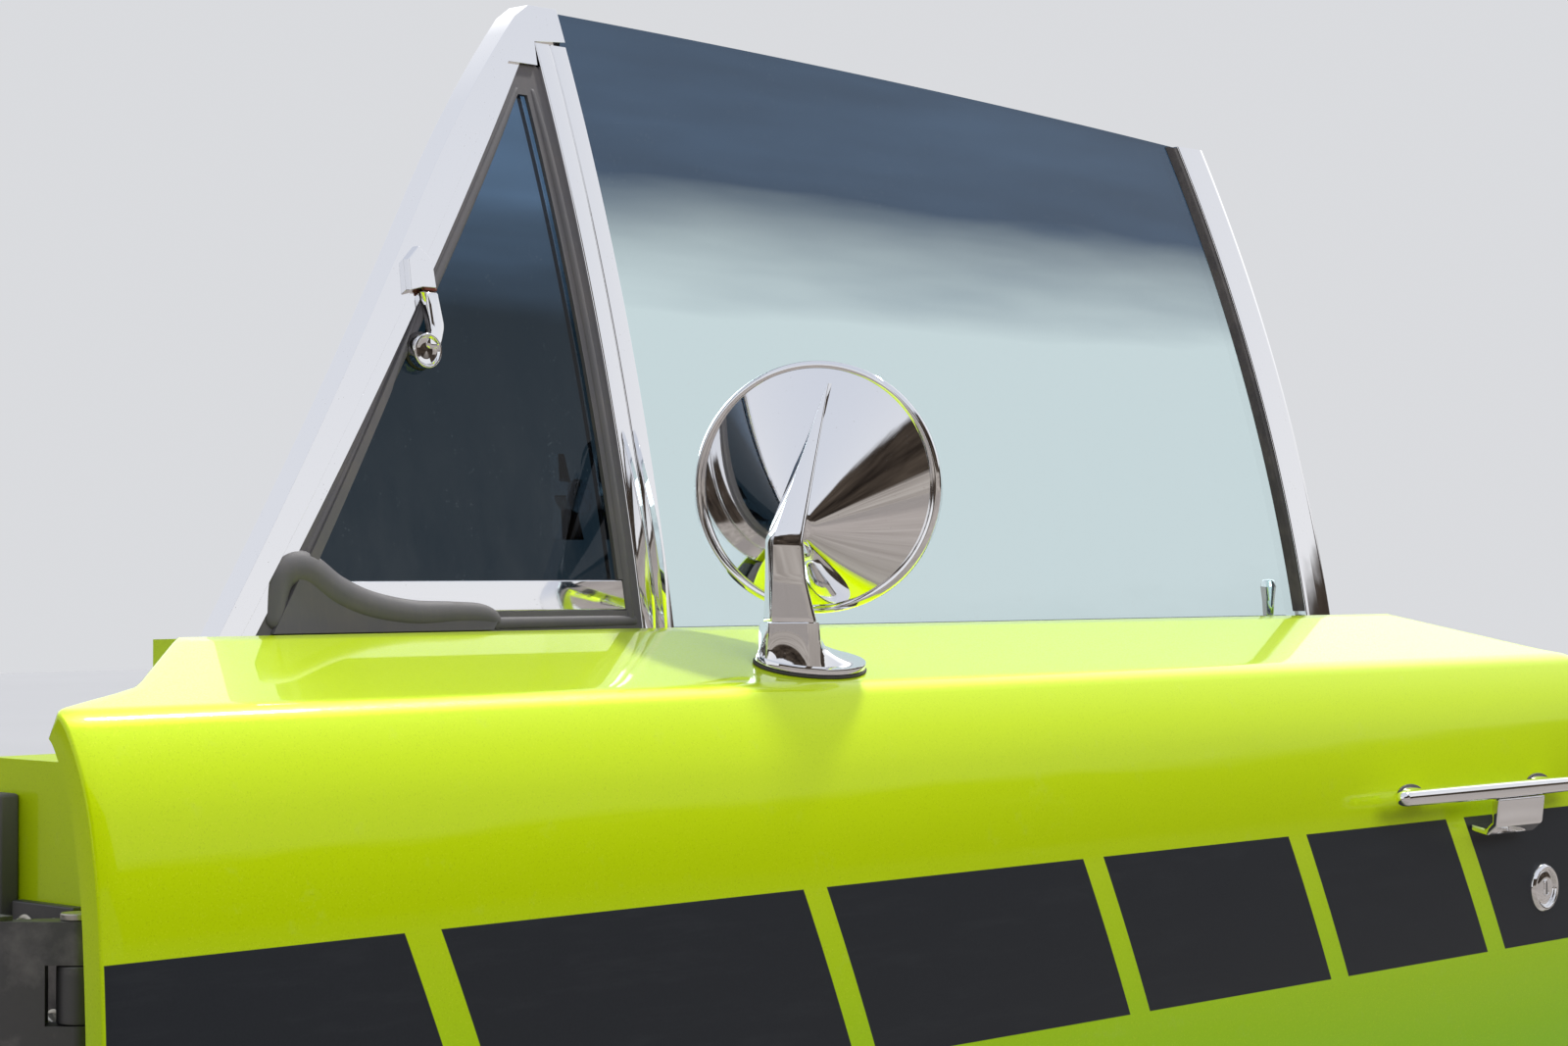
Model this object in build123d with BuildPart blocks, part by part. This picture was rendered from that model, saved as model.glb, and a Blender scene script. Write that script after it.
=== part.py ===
from build123d import *
from math import cos, hypot, radians, sin, tan
import os

os.makedirs("parts", exist_ok=True)

# Left front door of a two-door coupe, with its vent window, door mirror, hinges and trim.
# The origin is the middle of the upper hinge's four bolts, on the hinge's face against the pillar.
# X runs to the rear, Y to the cabin and Z up. Sizes are in millimetres, angles in degrees.

# Reference point on the belt line, at the division bar, on the face of the window's chrome
belt_x = 430
belt_y = 30
belt_z = 143

# Door outline, from the reference point
front_x = -430.7
rear_x = 722
bottom_z = -592
front_corner_r = 42
rear_corner_r = 66
sheet = 1.5  # pressed steel, skin and inner panel
fit_gap = 0.3  # between skin and inner panel
skin_return = 12  # depth of the skin's folded edge
inner_y = 24  # cabin face of the inner panel
panel_drop = 2  # inner panel's top below the belt
wall_inset = 19  # inner panel's walls inside the door's outline
flange_lap = 8  # how far the flange runs on behind the skin, past the walls
access_holes = [(-170, -300), (330, -330)]
access_w = 250
access_h = 210
access_r = 40
drain_w = 26
drain_h = 8
drain_pitch = 330
seal_w = 17  # door seal, across the wall
seal_t = 10
seal_y = 7  # cabin face of the seal behind the panel's
seal_top_z = -66

# Outer skin's section: a flat shoulder, then tangent arcs down the side
belt_gap = 7  # from the window's chrome to the skin
shoulder_slope = 16.2
shoulder_run = 90.7
belt_hem = 14  # skin folded down at the belt
# radius and turn of each arc
side_arcs = [(21.6, 39), (105, 20.5), (265, 10), (1200, 12), (1900, 5), (180, 24)]

# Corners that the front and rear gaps cut over the shoulder, seen from above
front_cut = [(-300.5, 0), (-376, -73.3), (-430.7, -96.3)]
rear_cut = [(640, 0), (704, -86), (722, -100)]
cut_corner_r = 12
shoulder_deep = 50
cabin_beyond = 90  # cutting blocks reach this far into the cabin

# Belt rubbers, wedges from the metal to the glass
wiper_gap = 0.2  # to the skin's hem
wiper_foot_z = -13
wiper_head_z = -1.5
wiper_crown = (2.5, 1)  # the highest edge, in from the metal and up
wiper_lip = 0.7  # from the glass, at the lip
wiper_foot_gap = 2.7  # from the glass, at the foot
cabin_wiper_foot_z = -16
cabin_wiper_lip = 1.5

# Side windows: all on one cylinder along X
glass_r = 1620
glass_lean = 9.5  # from upright at the belt
door_glass_depth = 4.2  # behind the chrome's face
door_glass_t = 4.8
glass_below_belt = 40

# Vent window's front bar, rising with the windscreen pillar
bar_foot_z = -20
bar_outer = [(-280, 0), (-120.5, 214.5), (-26, 321)]
bar_inner = [(-258.4, 0), (-30.1, 294.6)]
bar_depth = 14
bar_step_w = 7
bar_step_d = 1.2
cap_top_z = 328.5
cap_rear_x = 6
cap_under_z = 310
cap_front_x = -14
cap_drop = 2  # the cap's underside falls this much over the division bar
bar_gap = 0.2
tab_lap = 2.4  # the cap's tab ahead of the division bar
sill_lap = 8  # sill that ties the bar to the inner panel
sill_h = 12

# Division bar
division_front = -16.5
division_split = -5
lip_step = 0.7  # the lip stands back from the bar's face
division_rear = 6.5
division_depth = 16
division_foot_z = -110
glass_bite = 3.7  # how far the bar's lip covers the glass

# Vent pane and its rubber
pane_foot = (-247, 8)
pane_knee = (-121, 173)
pane_top_z = 277
pane_top_front = -36
pane_rear = -28
pane_taper = 2  # the rear edge leans forward by this much at the top
rubber_depth = (2, 12)
rubber_foot_z = -6
rubber_gap = 0.2
lip_proud = 0.5
lip_edge = [
    (-134, 160), (-151, 134), (-162, 115), (-220.6, 32), (-198, 12), (-118, 9.5), (-113.5, 4.5), (-117, 0)
]
channel_z = (8.8, 24)
channel_rear = -23.5
channel_depth = (2.5, 10.5)
channel_wall = 3

# Vent pivot
pivot_x = -128.4
pivot_z = 168
boss_x = -137.3
boss_z = 136.3
boss_r = 8.8
arm_w = 7.5
arm_out = 4
arm_under = 0.6
washer_t = 1.4
pad_t = 3
pad_lap = 0.3
# bracket's outline from the pivot: across and up
bracket_outline = [(-13.5, -2), (-11.5, 14), (-3.5, 21), (3.8, 14.5), (3.2, 0), (-5.5, 0)]

# Vent latch
vent_latch_x = -42
vent_latch_z = 66
vent_boss_r = 9
vent_boss_t = 9
vent_lever = (15, 44)
vent_lever_t = 7

# Hinges
hinge_pin_x = 26
hinge_pin_y = -43.5
hinge_pin_r = 5
hinge_play = 0.05
knuckle_r = 8.5
knuckle_half = 30
middle_half = 12
knuckle_gap = 0.3
leaf_t = 6
leaf_half_y = 27
leaf_half_z = 32
hinge_bolt_y = 32
hinge_bolt_z = 40
hinge_bolt_r = 5.25
hinge_drop = 285
hinge_wall_x = 46  # door's front wall, where the door's leaf is bolted
hinge_wall_y = -46
hinge_wall_front = (3, -82)
hinge_root = 5  # thickness of an arm where it leaves its leaf
door_leaf_y = -19
knuckle_clear = 5.5
pin_end = 2
pin_head_t = 3

# Latch
latch_z = -190
latch_slot_half = 13
latch_slot_y = -24
latch_slot_deep = 22
latch_case_t = 38
latch_case_y = -62
latch_case_half_z = 38
latch_plate_t = 2
latch_plate_lap = 7
fork_t = 9
fork_notch_r = 6

# Mirror
mirror_x = 48
mirror_y = -60
mirror_z = 71.5
mirror_aim = 31.5  # turned outward from straight ahead
head_r = 64.6
rim_w = 3.9  # width of the rim's ring
bezel_t = 10
bezel_lip = 3
rim_lap = 2
mirror_glass_t = 2.5
cone_z = 43  # the back's apex, behind the rim and below its middle
cone_drop = 22.6
cone_slope = 37.85
cone_tilt = 10.55
cone_flat = 5  # blunt tip
nose_round = 4
nose_narrow = 0.85
# height, ridge, step back to the widest point, half width, length and middle of each section
foot_nose = (-34, -6, 16, 18, 40, -76)
base_nose = (2.6, -4.5, 15, 19, 29, -78)
seam_nose = (3, -3, 14, 18, 26, -78)
neck_nose = (24, -3, 9.5, 13.5, 18.5, -79)
knee_nose = (44, -3, 8, 11.5, 19, -79)
spike_size = (0.5, 0.5, 6)
spike_ahead = 1  # the tip's section starts ahead of its point
spike_tip_at = (8, 52.5, 6)  # across, up and out from the middle of the head
foot_x = 28
foot_y = -75
foot_a = 35
foot_b = 20
gasket_t = 1.6
gasket_lap = 0.8
foot_t = 4.5

# Outside handle and lock
handle_x = (449, 655)
handle_z = -104.5
handle_h = 10
handle_out_y = -153
handle_w = 11
handle_feet = (474, 632)
handle_foot_w = 26
handle_bevel = 2.5
trigger_x = (551, 603)
trigger_z = -132
trigger_hook = 20  # how far the trigger curls back under the bar
trigger_t = 4
trigger_root = (3, 9)  # from the bar's outer face
lock_x = 632
lock_z = -169.7
lock_r = 15
lock_out_y = -135
lock_t = 13
lock_bevel = 1.5
keyhole = (2, 11)

# Rear trim of the door glass
strip_rear = [(595, 2), (587, 150), (569.5, 297)]
strip_w = 27
strip_seal_w = 10
strip_foot_z = -20
strip_head_z = (303, 305)
glass_top = [(8, 327), (275, 318.5), 303]
glass_lap = 4  # of the glass inside its rear strip
strip_proud = 0.5
strip_depth = 12

# Cabin side
trim_t = 6
trim_x = (-366, 688)
trim_z = (-556, -12)
trim_r = 26
pleat_h = 20
pleat_pitch = 26
pleat_t = 2.5
pleat_inset = 80
pleat_top_z = -50
pleats = 4
armrest_x = (90, 470)
armrest_z = (-300, -232)
armrest_d = 62
armrest_r = 20
armrest_bevel = 10
cup_w = 110
cup_d = 26
cup_deep = 30
cup_x = 200
crank_x = 30
crank_z = -330
crank_len = 118
crank_boss_r = 22
crank_boss_t = 14
crank_arm_w = 20
crank_arm_t = 7
crank_knob_r = 12
crank_knob_l = 24
pull_x = -30
pull_z = -190
pull_plate_t = 4
pull_pivot_r = 10
pull_lift = 9
pull_len = 108
pull_w = 16
knob_x = 560
knob_r = 5
knob_h = 34

span = 1600  # longer than the door, for cutting blocks

side = Plane(origin=(belt_x, belt_y, belt_z), x_dir=(1, 0, 0), z_dir=(0, -1, 0))
section = Plane(origin=(belt_x, belt_y, belt_z), x_dir=(0, 1, 0), z_dir=(1, 0, 0))
plan = Plane(origin=(belt_x, belt_y, belt_z))


def save(builder, name):
    builder.part.label = name
    export_step(builder.part, f"parts/{name}.step")


def face_line(depth, foot):
    # the skin's section line, depth inside of the painted face, from its foot at the belt downward
    slope = radians(shoulder_slope)
    ahead = depth * (1 + sin(slope)) / cos(slope)
    corner = (-belt_gap - depth, -depth * cos(slope) - ahead * sin(slope))
    run_end = (
        -belt_gap + depth * sin(slope) - shoulder_run * cos(slope),
        -depth * cos(slope) - shoulder_run * sin(slope),
    )
    Line((corner[0], foot), corner)
    edge = Line(corner, run_end)
    for radius, turn in side_arcs:
        edge = JernArc(edge @ 1, edge % 1, radius - depth, turn)
    return (corner[0], foot), edge @ 1


def skin_band(outer, inner, foot):
    # the part of the section between two depths under the painted face
    with BuildSketch(section.offset(-span / 2)) as band:
        with BuildLine():
            outer_foot, outer_end = face_line(outer, foot)
            inner_foot, inner_end = face_line(inner, foot)
            Line(outer_foot, inner_foot)
            Line(outer_end, inner_end)
        make_face()
    return band.sketch


def door_section(depth, cabin_y, top):
    # the whole section of the door from one depth under the painted face to the cabin
    with BuildSketch(section.offset(-span / 2)) as whole:
        with BuildLine():
            foot, end = face_line(depth, top)
            Polyline(end, (cabin_y, end.Y), (cabin_y, top), foot)
        make_face()
    return whole.sketch


def trim_to_door(inset, corner_inset=None):
    # cut a long section to the door's outline, inset from its gaps, and from the shoulder's corners
    if corner_inset is None:
        corner_inset = inset
    with BuildSketch(side) as outline:
        with BuildLine():
            Polyline(
                (front_x + inset, bottom_z + inset),
                (rear_x - inset, bottom_z + inset),
                (rear_x - inset, cabin_beyond),
                (front_x + inset, cabin_beyond),
                close=True,
            )
        make_face()
        fillet(outline.vertices().group_by(Axis.Y)[0].sort_by(Axis.X)[0], front_corner_r - inset)
        fillet(outline.vertices().group_by(Axis.Y)[0].sort_by(Axis.X)[-1], rear_corner_r - inset)
    extrude(outline.sketch, amount=span / 2, both=True, mode=Mode.INTERSECT)
    for line, beyond in ((front_cut, -span), (rear_cut, span)):
        with BuildSketch(plan.offset(-shoulder_deep - corner_inset)) as corner:
            with BuildLine():
                Polyline(
                    (beyond, cabin_beyond),
                    (line[0][0], cabin_beyond),
                    *line,
                    (beyond, line[-1][1]),
                    close=True,
                )
            make_face()
            bends = corner.vertices().filter_by(lambda v: v.Y < -1 and abs(v.X) < span / 2)
            fillet(bends, cut_corner_r)
            if corner_inset > 0:
                offset(amount=corner_inset, kind=Kind.INTERSECTION)
        extrude(corner.sketch, amount=2 * shoulder_deep + corner_inset, mode=Mode.SUBTRACT)


def hinge_recess(inset):
    # the door's front wall steps back round the hinges
    with BuildSketch(Plane.XY.offset(belt_z + bottom_z - 10)) as recess:
        with BuildLine():
            Polyline(
                (-span, hinge_wall_front[1]),
                hinge_wall_front,
                (hinge_wall_x, hinge_wall_y),
                (hinge_wall_x, belt_y + cabin_beyond),
                (-span, belt_y + cabin_beyond),
                close=True,
            )
        make_face()
        if inset:
            offset(amount=inset, kind=Kind.INTERSECTION)
    extrude(recess.sketch, amount=span, mode=Mode.SUBTRACT)


def follow_glass(outboard, inboard):
    # keep what lies between two faces parallel to the curved glass, counted from the chrome's face
    lean = radians(glass_lean)
    with BuildSketch(section.offset(-span / 2)) as ring:
        with Locations((glass_r * cos(lean), -glass_r * sin(lean))):
            Circle(glass_r + outboard)
            Circle(glass_r - inboard, mode=Mode.SUBTRACT)
    extrude(ring.sketch, amount=span, mode=Mode.INTERSECT)


def side_face(*points):
    # a straight-edged outline in side view
    with BuildSketch(side) as flat:
        with BuildLine():
            Polyline(*points, close=True)
        make_face()
    return flat.sketch


# The solid that the painted face bounds, for seating what stands on it
with BuildPart() as painted_solid:
    extrude(door_section(0, 0, -panel_drop), amount=span)

# Outer skin
with BuildPart() as skin_core:
    extrude(skin_band(sheet, skin_return + 2, -3 * skin_return), amount=span)
    trim_to_door(sheet)

with BuildPart() as outer_skin:
    extrude(skin_band(0, skin_return, -belt_hem), amount=span)
    trim_to_door(0)
    add(skin_core.part, mode=Mode.SUBTRACT)
save(outer_skin, "outer_skin")

# Inner panel: one deep pressing, its walls set in from a flange behind the skin
rear_wall_x = rear_x - wall_inset
latch_slot_x = rear_wall_x - latch_slot_deep

with BuildPart() as door_hollow:
    extrude(door_section(sheet + fit_gap, inner_y - sheet, cabin_beyond), amount=span)
    trim_to_door(wall_inset + sheet, 2 * sheet)
    hinge_recess(sheet)

with BuildPart() as flange_opening:
    extrude(skin_band(0, 3 * sheet, -belt_hem), amount=span)
    trim_to_door(wall_inset + flange_lap, 2 * flange_lap)

with BuildPart() as latch_slot:
    with BuildSketch(section.offset(latch_slot_x)):
        with Locations((latch_slot_y, latch_z)):
            Rectangle(
                cabin_beyond - latch_slot_y, 2 * latch_slot_half, align=(Align.MIN, Align.CENTER)
            )
    extrude(amount=span / 4)

with BuildPart() as panel_flange:
    extrude(skin_band(sheet + fit_gap, 2 * sheet + fit_gap, -belt_hem), amount=span)
    trim_to_door(sheet)

with BuildPart() as inner_panel:
    extrude(door_section(sheet + fit_gap, inner_y, -panel_drop), amount=span)
    trim_to_door(wall_inset, sheet)
    hinge_recess(0)
    add(door_hollow.part, mode=Mode.SUBTRACT)
    add(panel_flange.part)
    add(flange_opening.part, mode=Mode.SUBTRACT)
    add(latch_slot.part, mode=Mode.SUBTRACT)
    add(outer_skin.part, mode=Mode.SUBTRACT)
    # access openings behind the trim
    with BuildSketch(side):
        with Locations(*access_holes):
            RectangleRounded(access_w, access_h, access_r)
    extrude(amount=-inner_y - 2, mode=Mode.SUBTRACT)
    # drain slots along the bottom
    with BuildSketch(plan.offset(bottom_z)):
        with Locations(((front_x + rear_x) / 2, (inner_y + latch_case_y) / 2)):
            with GridLocations(drain_pitch, 1, 3, 1):
                SlotOverall(drain_w, drain_h)
    extrude(amount=wall_inset + 2 * sheet, mode=Mode.SUBTRACT)
save(inner_panel, "inner_panel")

# Door seal round the walls, open at the top and at the latch
with BuildPart() as panel_walls:
    with BuildSketch(side):
        Rectangle(2 * span, 2 * span)
    extrude(amount=span / 2, both=True)
    trim_to_door(wall_inset, sheet)
    hinge_recess(0)

with BuildPart() as door_seal:
    with BuildSketch(side.offset(seal_y - inner_y)) as seal_field:
        with Locations(((front_x + rear_x) / 2, (bottom_z + seal_top_z) / 2)):
            Rectangle(rear_x - front_x, seal_top_z - bottom_z)
        with Locations((rear_x, latch_z)):
            Rectangle(
                4 * wall_inset, 2 * (latch_case_half_z + latch_plate_lap), mode=Mode.SUBTRACT
            )
    extrude(amount=seal_w)
    trim_to_door(wall_inset - seal_t, sheet)
    hinge_recess(-seal_t)
    add(panel_walls.part, mode=Mode.SUBTRACT)
save(door_seal, "door_seal")

# Hinges: a leaf on the pillar, a leaf on the door, and the pin between them
for name, hinge_z in (("upper", 0), ("lower", -hinge_drop)):
    level = Plane.XY.offset(hinge_z)
    with BuildPart() as hinge_slot:
        with BuildSketch(level.offset(-middle_half - knuckle_gap)):
            with Locations((hinge_pin_x, hinge_pin_y)):
                Circle(knuckle_r + knuckle_clear)
        extrude(amount=2 * (middle_half + knuckle_gap))

    with BuildPart() as pillar_leaf:
        with BuildSketch(level.offset(-leaf_half_z)):
            Rectangle(leaf_t, 2 * leaf_half_y, align=(Align.MIN, Align.CENTER))
        extrude(amount=2 * leaf_half_z)
        with BuildSketch(level.offset(-knuckle_half)):
            with Locations((0, -leaf_half_y)):
                Rectangle(leaf_t, hinge_root, align=Align.MIN)
            with Locations((hinge_pin_x, hinge_pin_y)):
                Circle(knuckle_r)
            make_hull()
        extrude(amount=2 * knuckle_half)
        add(hinge_slot.part, mode=Mode.SUBTRACT)
        with Locations(level):
            with Locations((hinge_pin_x, hinge_pin_y)):
                Hole(hinge_pin_r, depth=2 * leaf_half_z)
        with Locations(Plane(origin=(leaf_t, 0, hinge_z), z_dir=(1, 0, 0), x_dir=(0, 1, 0))):
            with GridLocations(hinge_bolt_y, hinge_bolt_z, 2, 2):
                Hole(hinge_bolt_r, depth=leaf_t)
    save(pillar_leaf, f"{name}_pillar_leaf")

    with BuildPart() as door_leaf:
        with BuildSketch(level.offset(-leaf_half_z)):
            with Locations((hinge_wall_x - leaf_t, door_leaf_y)):
                Rectangle(leaf_t, leaf_half_y - door_leaf_y, align=Align.MIN)
        extrude(amount=2 * leaf_half_z)
        with BuildSketch(level.offset(-middle_half)):
            with Locations((hinge_wall_x - leaf_t, door_leaf_y)):
                Rectangle(leaf_t, hinge_root, align=Align.MIN)
            with Locations((hinge_pin_x, hinge_pin_y)):
                Circle(knuckle_r)
            make_hull()
        extrude(amount=2 * middle_half)
        with Locations(level):
            with Locations((hinge_pin_x, hinge_pin_y)):
                Hole(hinge_pin_r + hinge_play, depth=2 * leaf_half_z)
    save(door_leaf, f"{name}_door_leaf")

    with BuildPart() as hinge_pin:
        with BuildSketch(level.offset(-knuckle_half - pin_end)):
            with Locations((hinge_pin_x, hinge_pin_y)):
                Circle(hinge_pin_r)
        extrude(amount=2 * knuckle_half + pin_end)
        with BuildSketch(level.offset(knuckle_half)):
            with Locations((hinge_pin_x, hinge_pin_y)):
                Circle(hinge_pin_r + pin_end)
        extrude(amount=pin_head_t)
    save(hinge_pin, f"{name}_hinge_pin")

# Latch behind the rear wall, its mouth open to the cabin side, and the plate round it
latch_pieces = (
    ("latch_case", rear_wall_x - sheet - latch_case_t, latch_case_t, 0),
    ("latch_plate", rear_wall_x, latch_plate_t, latch_plate_lap),
)
for name, start_x, thick, lap in latch_pieces:
    with BuildPart() as latch_piece:
        with BuildSketch(section.offset(start_x)):
            with Locations((latch_case_y, latch_z)):
                Rectangle(
                    inner_y - sheet - latch_case_y,
                    2 * (latch_case_half_z + lap) - latch_plate_t,
                    align=(Align.MIN, Align.CENTER),
                )
        extrude(amount=thick)
        add(latch_slot.part, mode=Mode.SUBTRACT)
    save(latch_piece, name)

with BuildPart() as latch_fork:
    with BuildSketch(section.offset(latch_slot_x + sheet)):
        with Locations((latch_slot_y, latch_z)):
            Rectangle(
                fork_notch_r + sheet, 2 * latch_slot_half, align=(Align.MIN, Align.CENTER)
            )
        with Locations((latch_slot_y + fork_notch_r + sheet, latch_z)):
            Circle(fork_notch_r, mode=Mode.SUBTRACT)
    extrude(amount=fork_t)
save(latch_fork, "latch_fork")

# Belt rubbers on both sides of the door glass
with BuildPart() as belt_rubber_outer:
    with BuildSketch(section.offset(division_rear + 1)):
        with BuildLine():
            Polyline(
                (-belt_gap + wiper_gap, wiper_foot_z),
                (-belt_gap + wiper_gap, wiper_head_z),
                (-belt_gap + wiper_crown[0], wiper_head_z + wiper_crown[1]),
                (door_glass_depth - wiper_lip, wiper_head_z),
                (door_glass_depth - wiper_foot_gap, wiper_foot_z),
                close=True,
            )
        make_face()
    extrude(amount=strip_rear[0][0] - strip_w - strip_seal_w - division_rear - 2)
save(belt_rubber_outer, "belt_rubber_outer")

with BuildPart() as belt_rubber_inner:
    with BuildSketch(section.offset(division_rear + 1)):
        with BuildLine():
            Polyline(
                (inner_y - sheet, cabin_wiper_foot_z),
                (inner_y - sheet, -panel_drop),
                (inner_y - sheet - 2 * wiper_crown[0], wiper_crown[1] - panel_drop),
                (door_glass_depth + door_glass_t + cabin_wiper_lip, -panel_drop - wiper_crown[1]),
                (door_glass_depth + door_glass_t + cabin_wiper_lip, cabin_wiper_foot_z),
                close=True,
            )
        make_face()
    extrude(amount=strip_rear[0][0] - strip_w - division_rear - 3)
save(belt_rubber_inner, "belt_rubber_inner")

# Vent window frame: front bar with its cap, and a sill down to the inner panel
bar_slope = (bar_outer[1][0] - bar_outer[0][0]) / (bar_outer[1][1] - bar_outer[0][1])
inner_slope = (bar_inner[1][0] - bar_inner[0][0]) / (bar_inner[1][1] - bar_inner[0][1])
bar_foot_front = bar_outer[0][0] + bar_slope * bar_foot_z
bar_foot_rear = bar_inner[0][0] + inner_slope * bar_foot_z
tab_z = bar_inner[1][1]
step_x = bar_step_w * hypot(1, inner_slope)

with BuildPart() as bar_step:
    extrude(
        side_face(
            (bar_foot_rear - step_x, bar_foot_z),
            (bar_inner[1][0] - step_x, tab_z),
            (bar_inner[1][0] + bar_step_w, tab_z),
            (bar_foot_rear + bar_step_w, bar_foot_z),
        ),
        amount=span / 4,
        both=True,
    )
    follow_glass(bar_depth, bar_step_d)

with BuildPart() as vent_frame:
    with BuildSketch(side):
        with BuildLine():
            rise = Line((bar_foot_front, bar_foot_z), bar_outer[1])
            lean_in = TangentArc(bar_outer[1], bar_outer[2], tangent=rise % 1)
            Polyline(
                bar_outer[2],
                (cap_front_x, cap_top_z),
                (cap_rear_x, cap_top_z),
                (cap_rear_x, cap_under_z),
                (division_front, cap_under_z - cap_drop),
                (division_front - tab_lap, tab_z),
                bar_inner[1],
                (bar_foot_rear, bar_foot_z),
                (bar_foot_front, bar_foot_z),
            )
        make_face()
    extrude(amount=span / 4, both=True)
    follow_glass(0, bar_depth)
    add(bar_step.part, mode=Mode.SUBTRACT)
    with BuildSketch(section.offset(bar_foot_rear - sill_lap)):
        with Locations((-sheet, bar_foot_z)):
            Rectangle(inner_y, sill_h, align=Align.MIN)
    extrude(amount=division_front - bar_foot_rear + sill_lap - sheet)
save(vent_frame, "vent_frame")

# Division bar between vent window and door glass: a flat face, a groove and a lip over the glass
lip_outline = (
    (division_split, division_foot_z),
    (division_split, cap_under_z - cap_drop / 2 - bar_gap),
    (division_rear, cap_under_z - bar_gap),
    (division_rear, division_foot_z),
)
with BuildPart() as bar_lip:
    extrude(side_face(*lip_outline), amount=span / 4, both=True)
    follow_glass(-lip_step, door_glass_depth - bar_gap)

with BuildPart() as lip_room:
    extrude(side_face(*lip_outline), amount=span / 4, both=True)
    follow_glass(bar_depth, lip_step)

with BuildPart() as division_bar:
    extrude(
        side_face(
            (division_front, division_foot_z),
            (division_front, cap_under_z - cap_drop - bar_gap),
            (division_split, cap_under_z - cap_drop / 2 - bar_gap),
            (division_rear - glass_bite - bar_gap, cap_under_z - cap_drop / 2 - bar_gap),
            (division_rear - glass_bite - bar_gap, division_foot_z),
        ),
        amount=span / 4,
        both=True,
    )
    follow_glass(0, division_depth)
    add(lip_room.part, mode=Mode.SUBTRACT)
    add(bar_lip.part)
save(division_bar, "division_bar")

# Vent pane in its chrome channel
pane_points = (
    pane_foot,
    pane_knee,
    (pane_top_front, pane_top_z),
    (pane_rear - pane_taper, pane_top_z),
    (pane_rear, channel_z[0] + channel_wall),
    (pane_foot[0] + channel_wall, channel_z[0] + channel_wall),
)
with BuildPart() as vent_pane:
    extrude(side_face(*pane_points), amount=span / 4, both=True)
    follow_glass(-door_glass_depth, door_glass_depth + door_glass_t)
save(vent_pane, "vent_pane")

pane_slope = (pane_knee[0] - pane_foot[0]) / (pane_knee[1] - pane_foot[1])


def channel_front(height):
    # the channel's front end follows the pane's edge
    return pane_foot[0] + (height - pane_foot[1]) * pane_slope + channel_wall


with BuildPart() as vent_channel:
    extrude(
        side_face(
            (channel_front(channel_z[0]), channel_z[0]),
            (channel_front(channel_z[1]), channel_z[1]),
            (channel_rear, channel_z[1]),
            (channel_rear, channel_z[0]),
        ),
        amount=span / 4,
        both=True,
    )
    follow_glass(-channel_depth[0], channel_depth[1])
    add(vent_pane.part, mode=Mode.SUBTRACT)
save(vent_channel, "vent_channel")

# Rubber all round the pane, lapping it outboard ahead of the pivot
with BuildPart() as pane_room:
    with BuildSketch(side) as room:
        with BuildLine():
            Polyline(
                *pane_points[:4],
                (pane_rear, channel_z[1]),
                (channel_rear, channel_z[1]),
                (channel_rear, channel_z[0]),
                (channel_front(channel_z[0]), channel_z[0]),
                close=True,
            )
        make_face()
        offset(amount=rubber_gap, kind=Kind.INTERSECTION)
    extrude(amount=span / 4, both=True)

with BuildPart() as rubber_lip:
    extrude(
        side_face(
            (pane_foot[0] - channel_wall, 0),
            *lip_edge,
        ),
        amount=span / 4,
        both=True,
    )
    follow_glass(lip_proud, channel_depth[0] - rubber_gap / 2)

with BuildPart() as vent_rubber:
    extrude(
        side_face(
            (bar_inner[0][0] + inner_slope * rubber_foot_z, rubber_foot_z),
            bar_inner[1],
            (division_front - tab_lap, tab_z),
            (division_front, tab_z - cap_drop),
            (division_front, rubber_foot_z),
        ),
        amount=span / 4,
        both=True,
    )
    follow_glass(-rubber_depth[0], rubber_depth[1])
    add(pane_room.part, mode=Mode.SUBTRACT)
    add(rubber_lip.part)
save(vent_rubber, "vent_rubber")

# Vent pivot: bracket on the bar, washer, arm, and its pad on the pane
with BuildPart() as vent_bracket:
    extrude(
        side_face(*[(pivot_x + across, pivot_z + up) for across, up in bracket_outline]),
        amount=span / 4,
        both=True,
    )
    follow_glass(arm_out, bar_step_d)
    add(vent_frame.part, mode=Mode.SUBTRACT)
save(vent_bracket, "vent_bracket")

with BuildPart() as vent_washer:
    with BuildSketch(side):
        with Locations((pivot_x, pivot_z)):
            Rectangle(arm_w, washer_t, align=(Align.CENTER, Align.MAX))
    extrude(amount=span / 4, both=True)
    follow_glass(arm_out - lip_proud, -arm_under)
save(vent_washer, "vent_washer")

with BuildPart() as arm_boss:
    with BuildSketch(side):
        with Locations((boss_x, boss_z)):
            Circle(boss_r)
    extrude(amount=span / 4, both=True)
    follow_glass(arm_out, door_glass_depth - pad_t)

with BuildPart() as vent_arm:
    extrude(
        side_face(
            (pivot_x - arm_w / 2, pivot_z - washer_t),
            (pivot_x + arm_w / 2, pivot_z - washer_t),
            (boss_x + boss_r, boss_z),
            (boss_x, boss_z),
        ),
        amount=span / 4,
        both=True,
    )
    follow_glass(arm_out, -arm_under)
    add(arm_boss.part)
save(vent_arm, "vent_arm")

with BuildPart() as vent_pad:
    with BuildSketch(side):
        with Locations((boss_x, boss_z)):
            Circle(boss_r + pad_lap)
    extrude(amount=span / 4, both=True)
    follow_glass(-(door_glass_depth - pad_t), door_glass_depth)
save(vent_pad, "vent_pad")

# Vent latch on the cabin side of the pane, by the division bar
pane_inside = door_glass_depth + door_glass_t
with BuildPart() as latch_lever:
    with BuildSketch(side):
        with Locations((vent_latch_x, vent_latch_z)):
            Trapezoid(vent_lever[0], vent_lever[1], 83)
    extrude(amount=span / 4, both=True)
    follow_glass(-(pane_inside + vent_boss_t), pane_inside + vent_boss_t + vent_lever_t)

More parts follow.
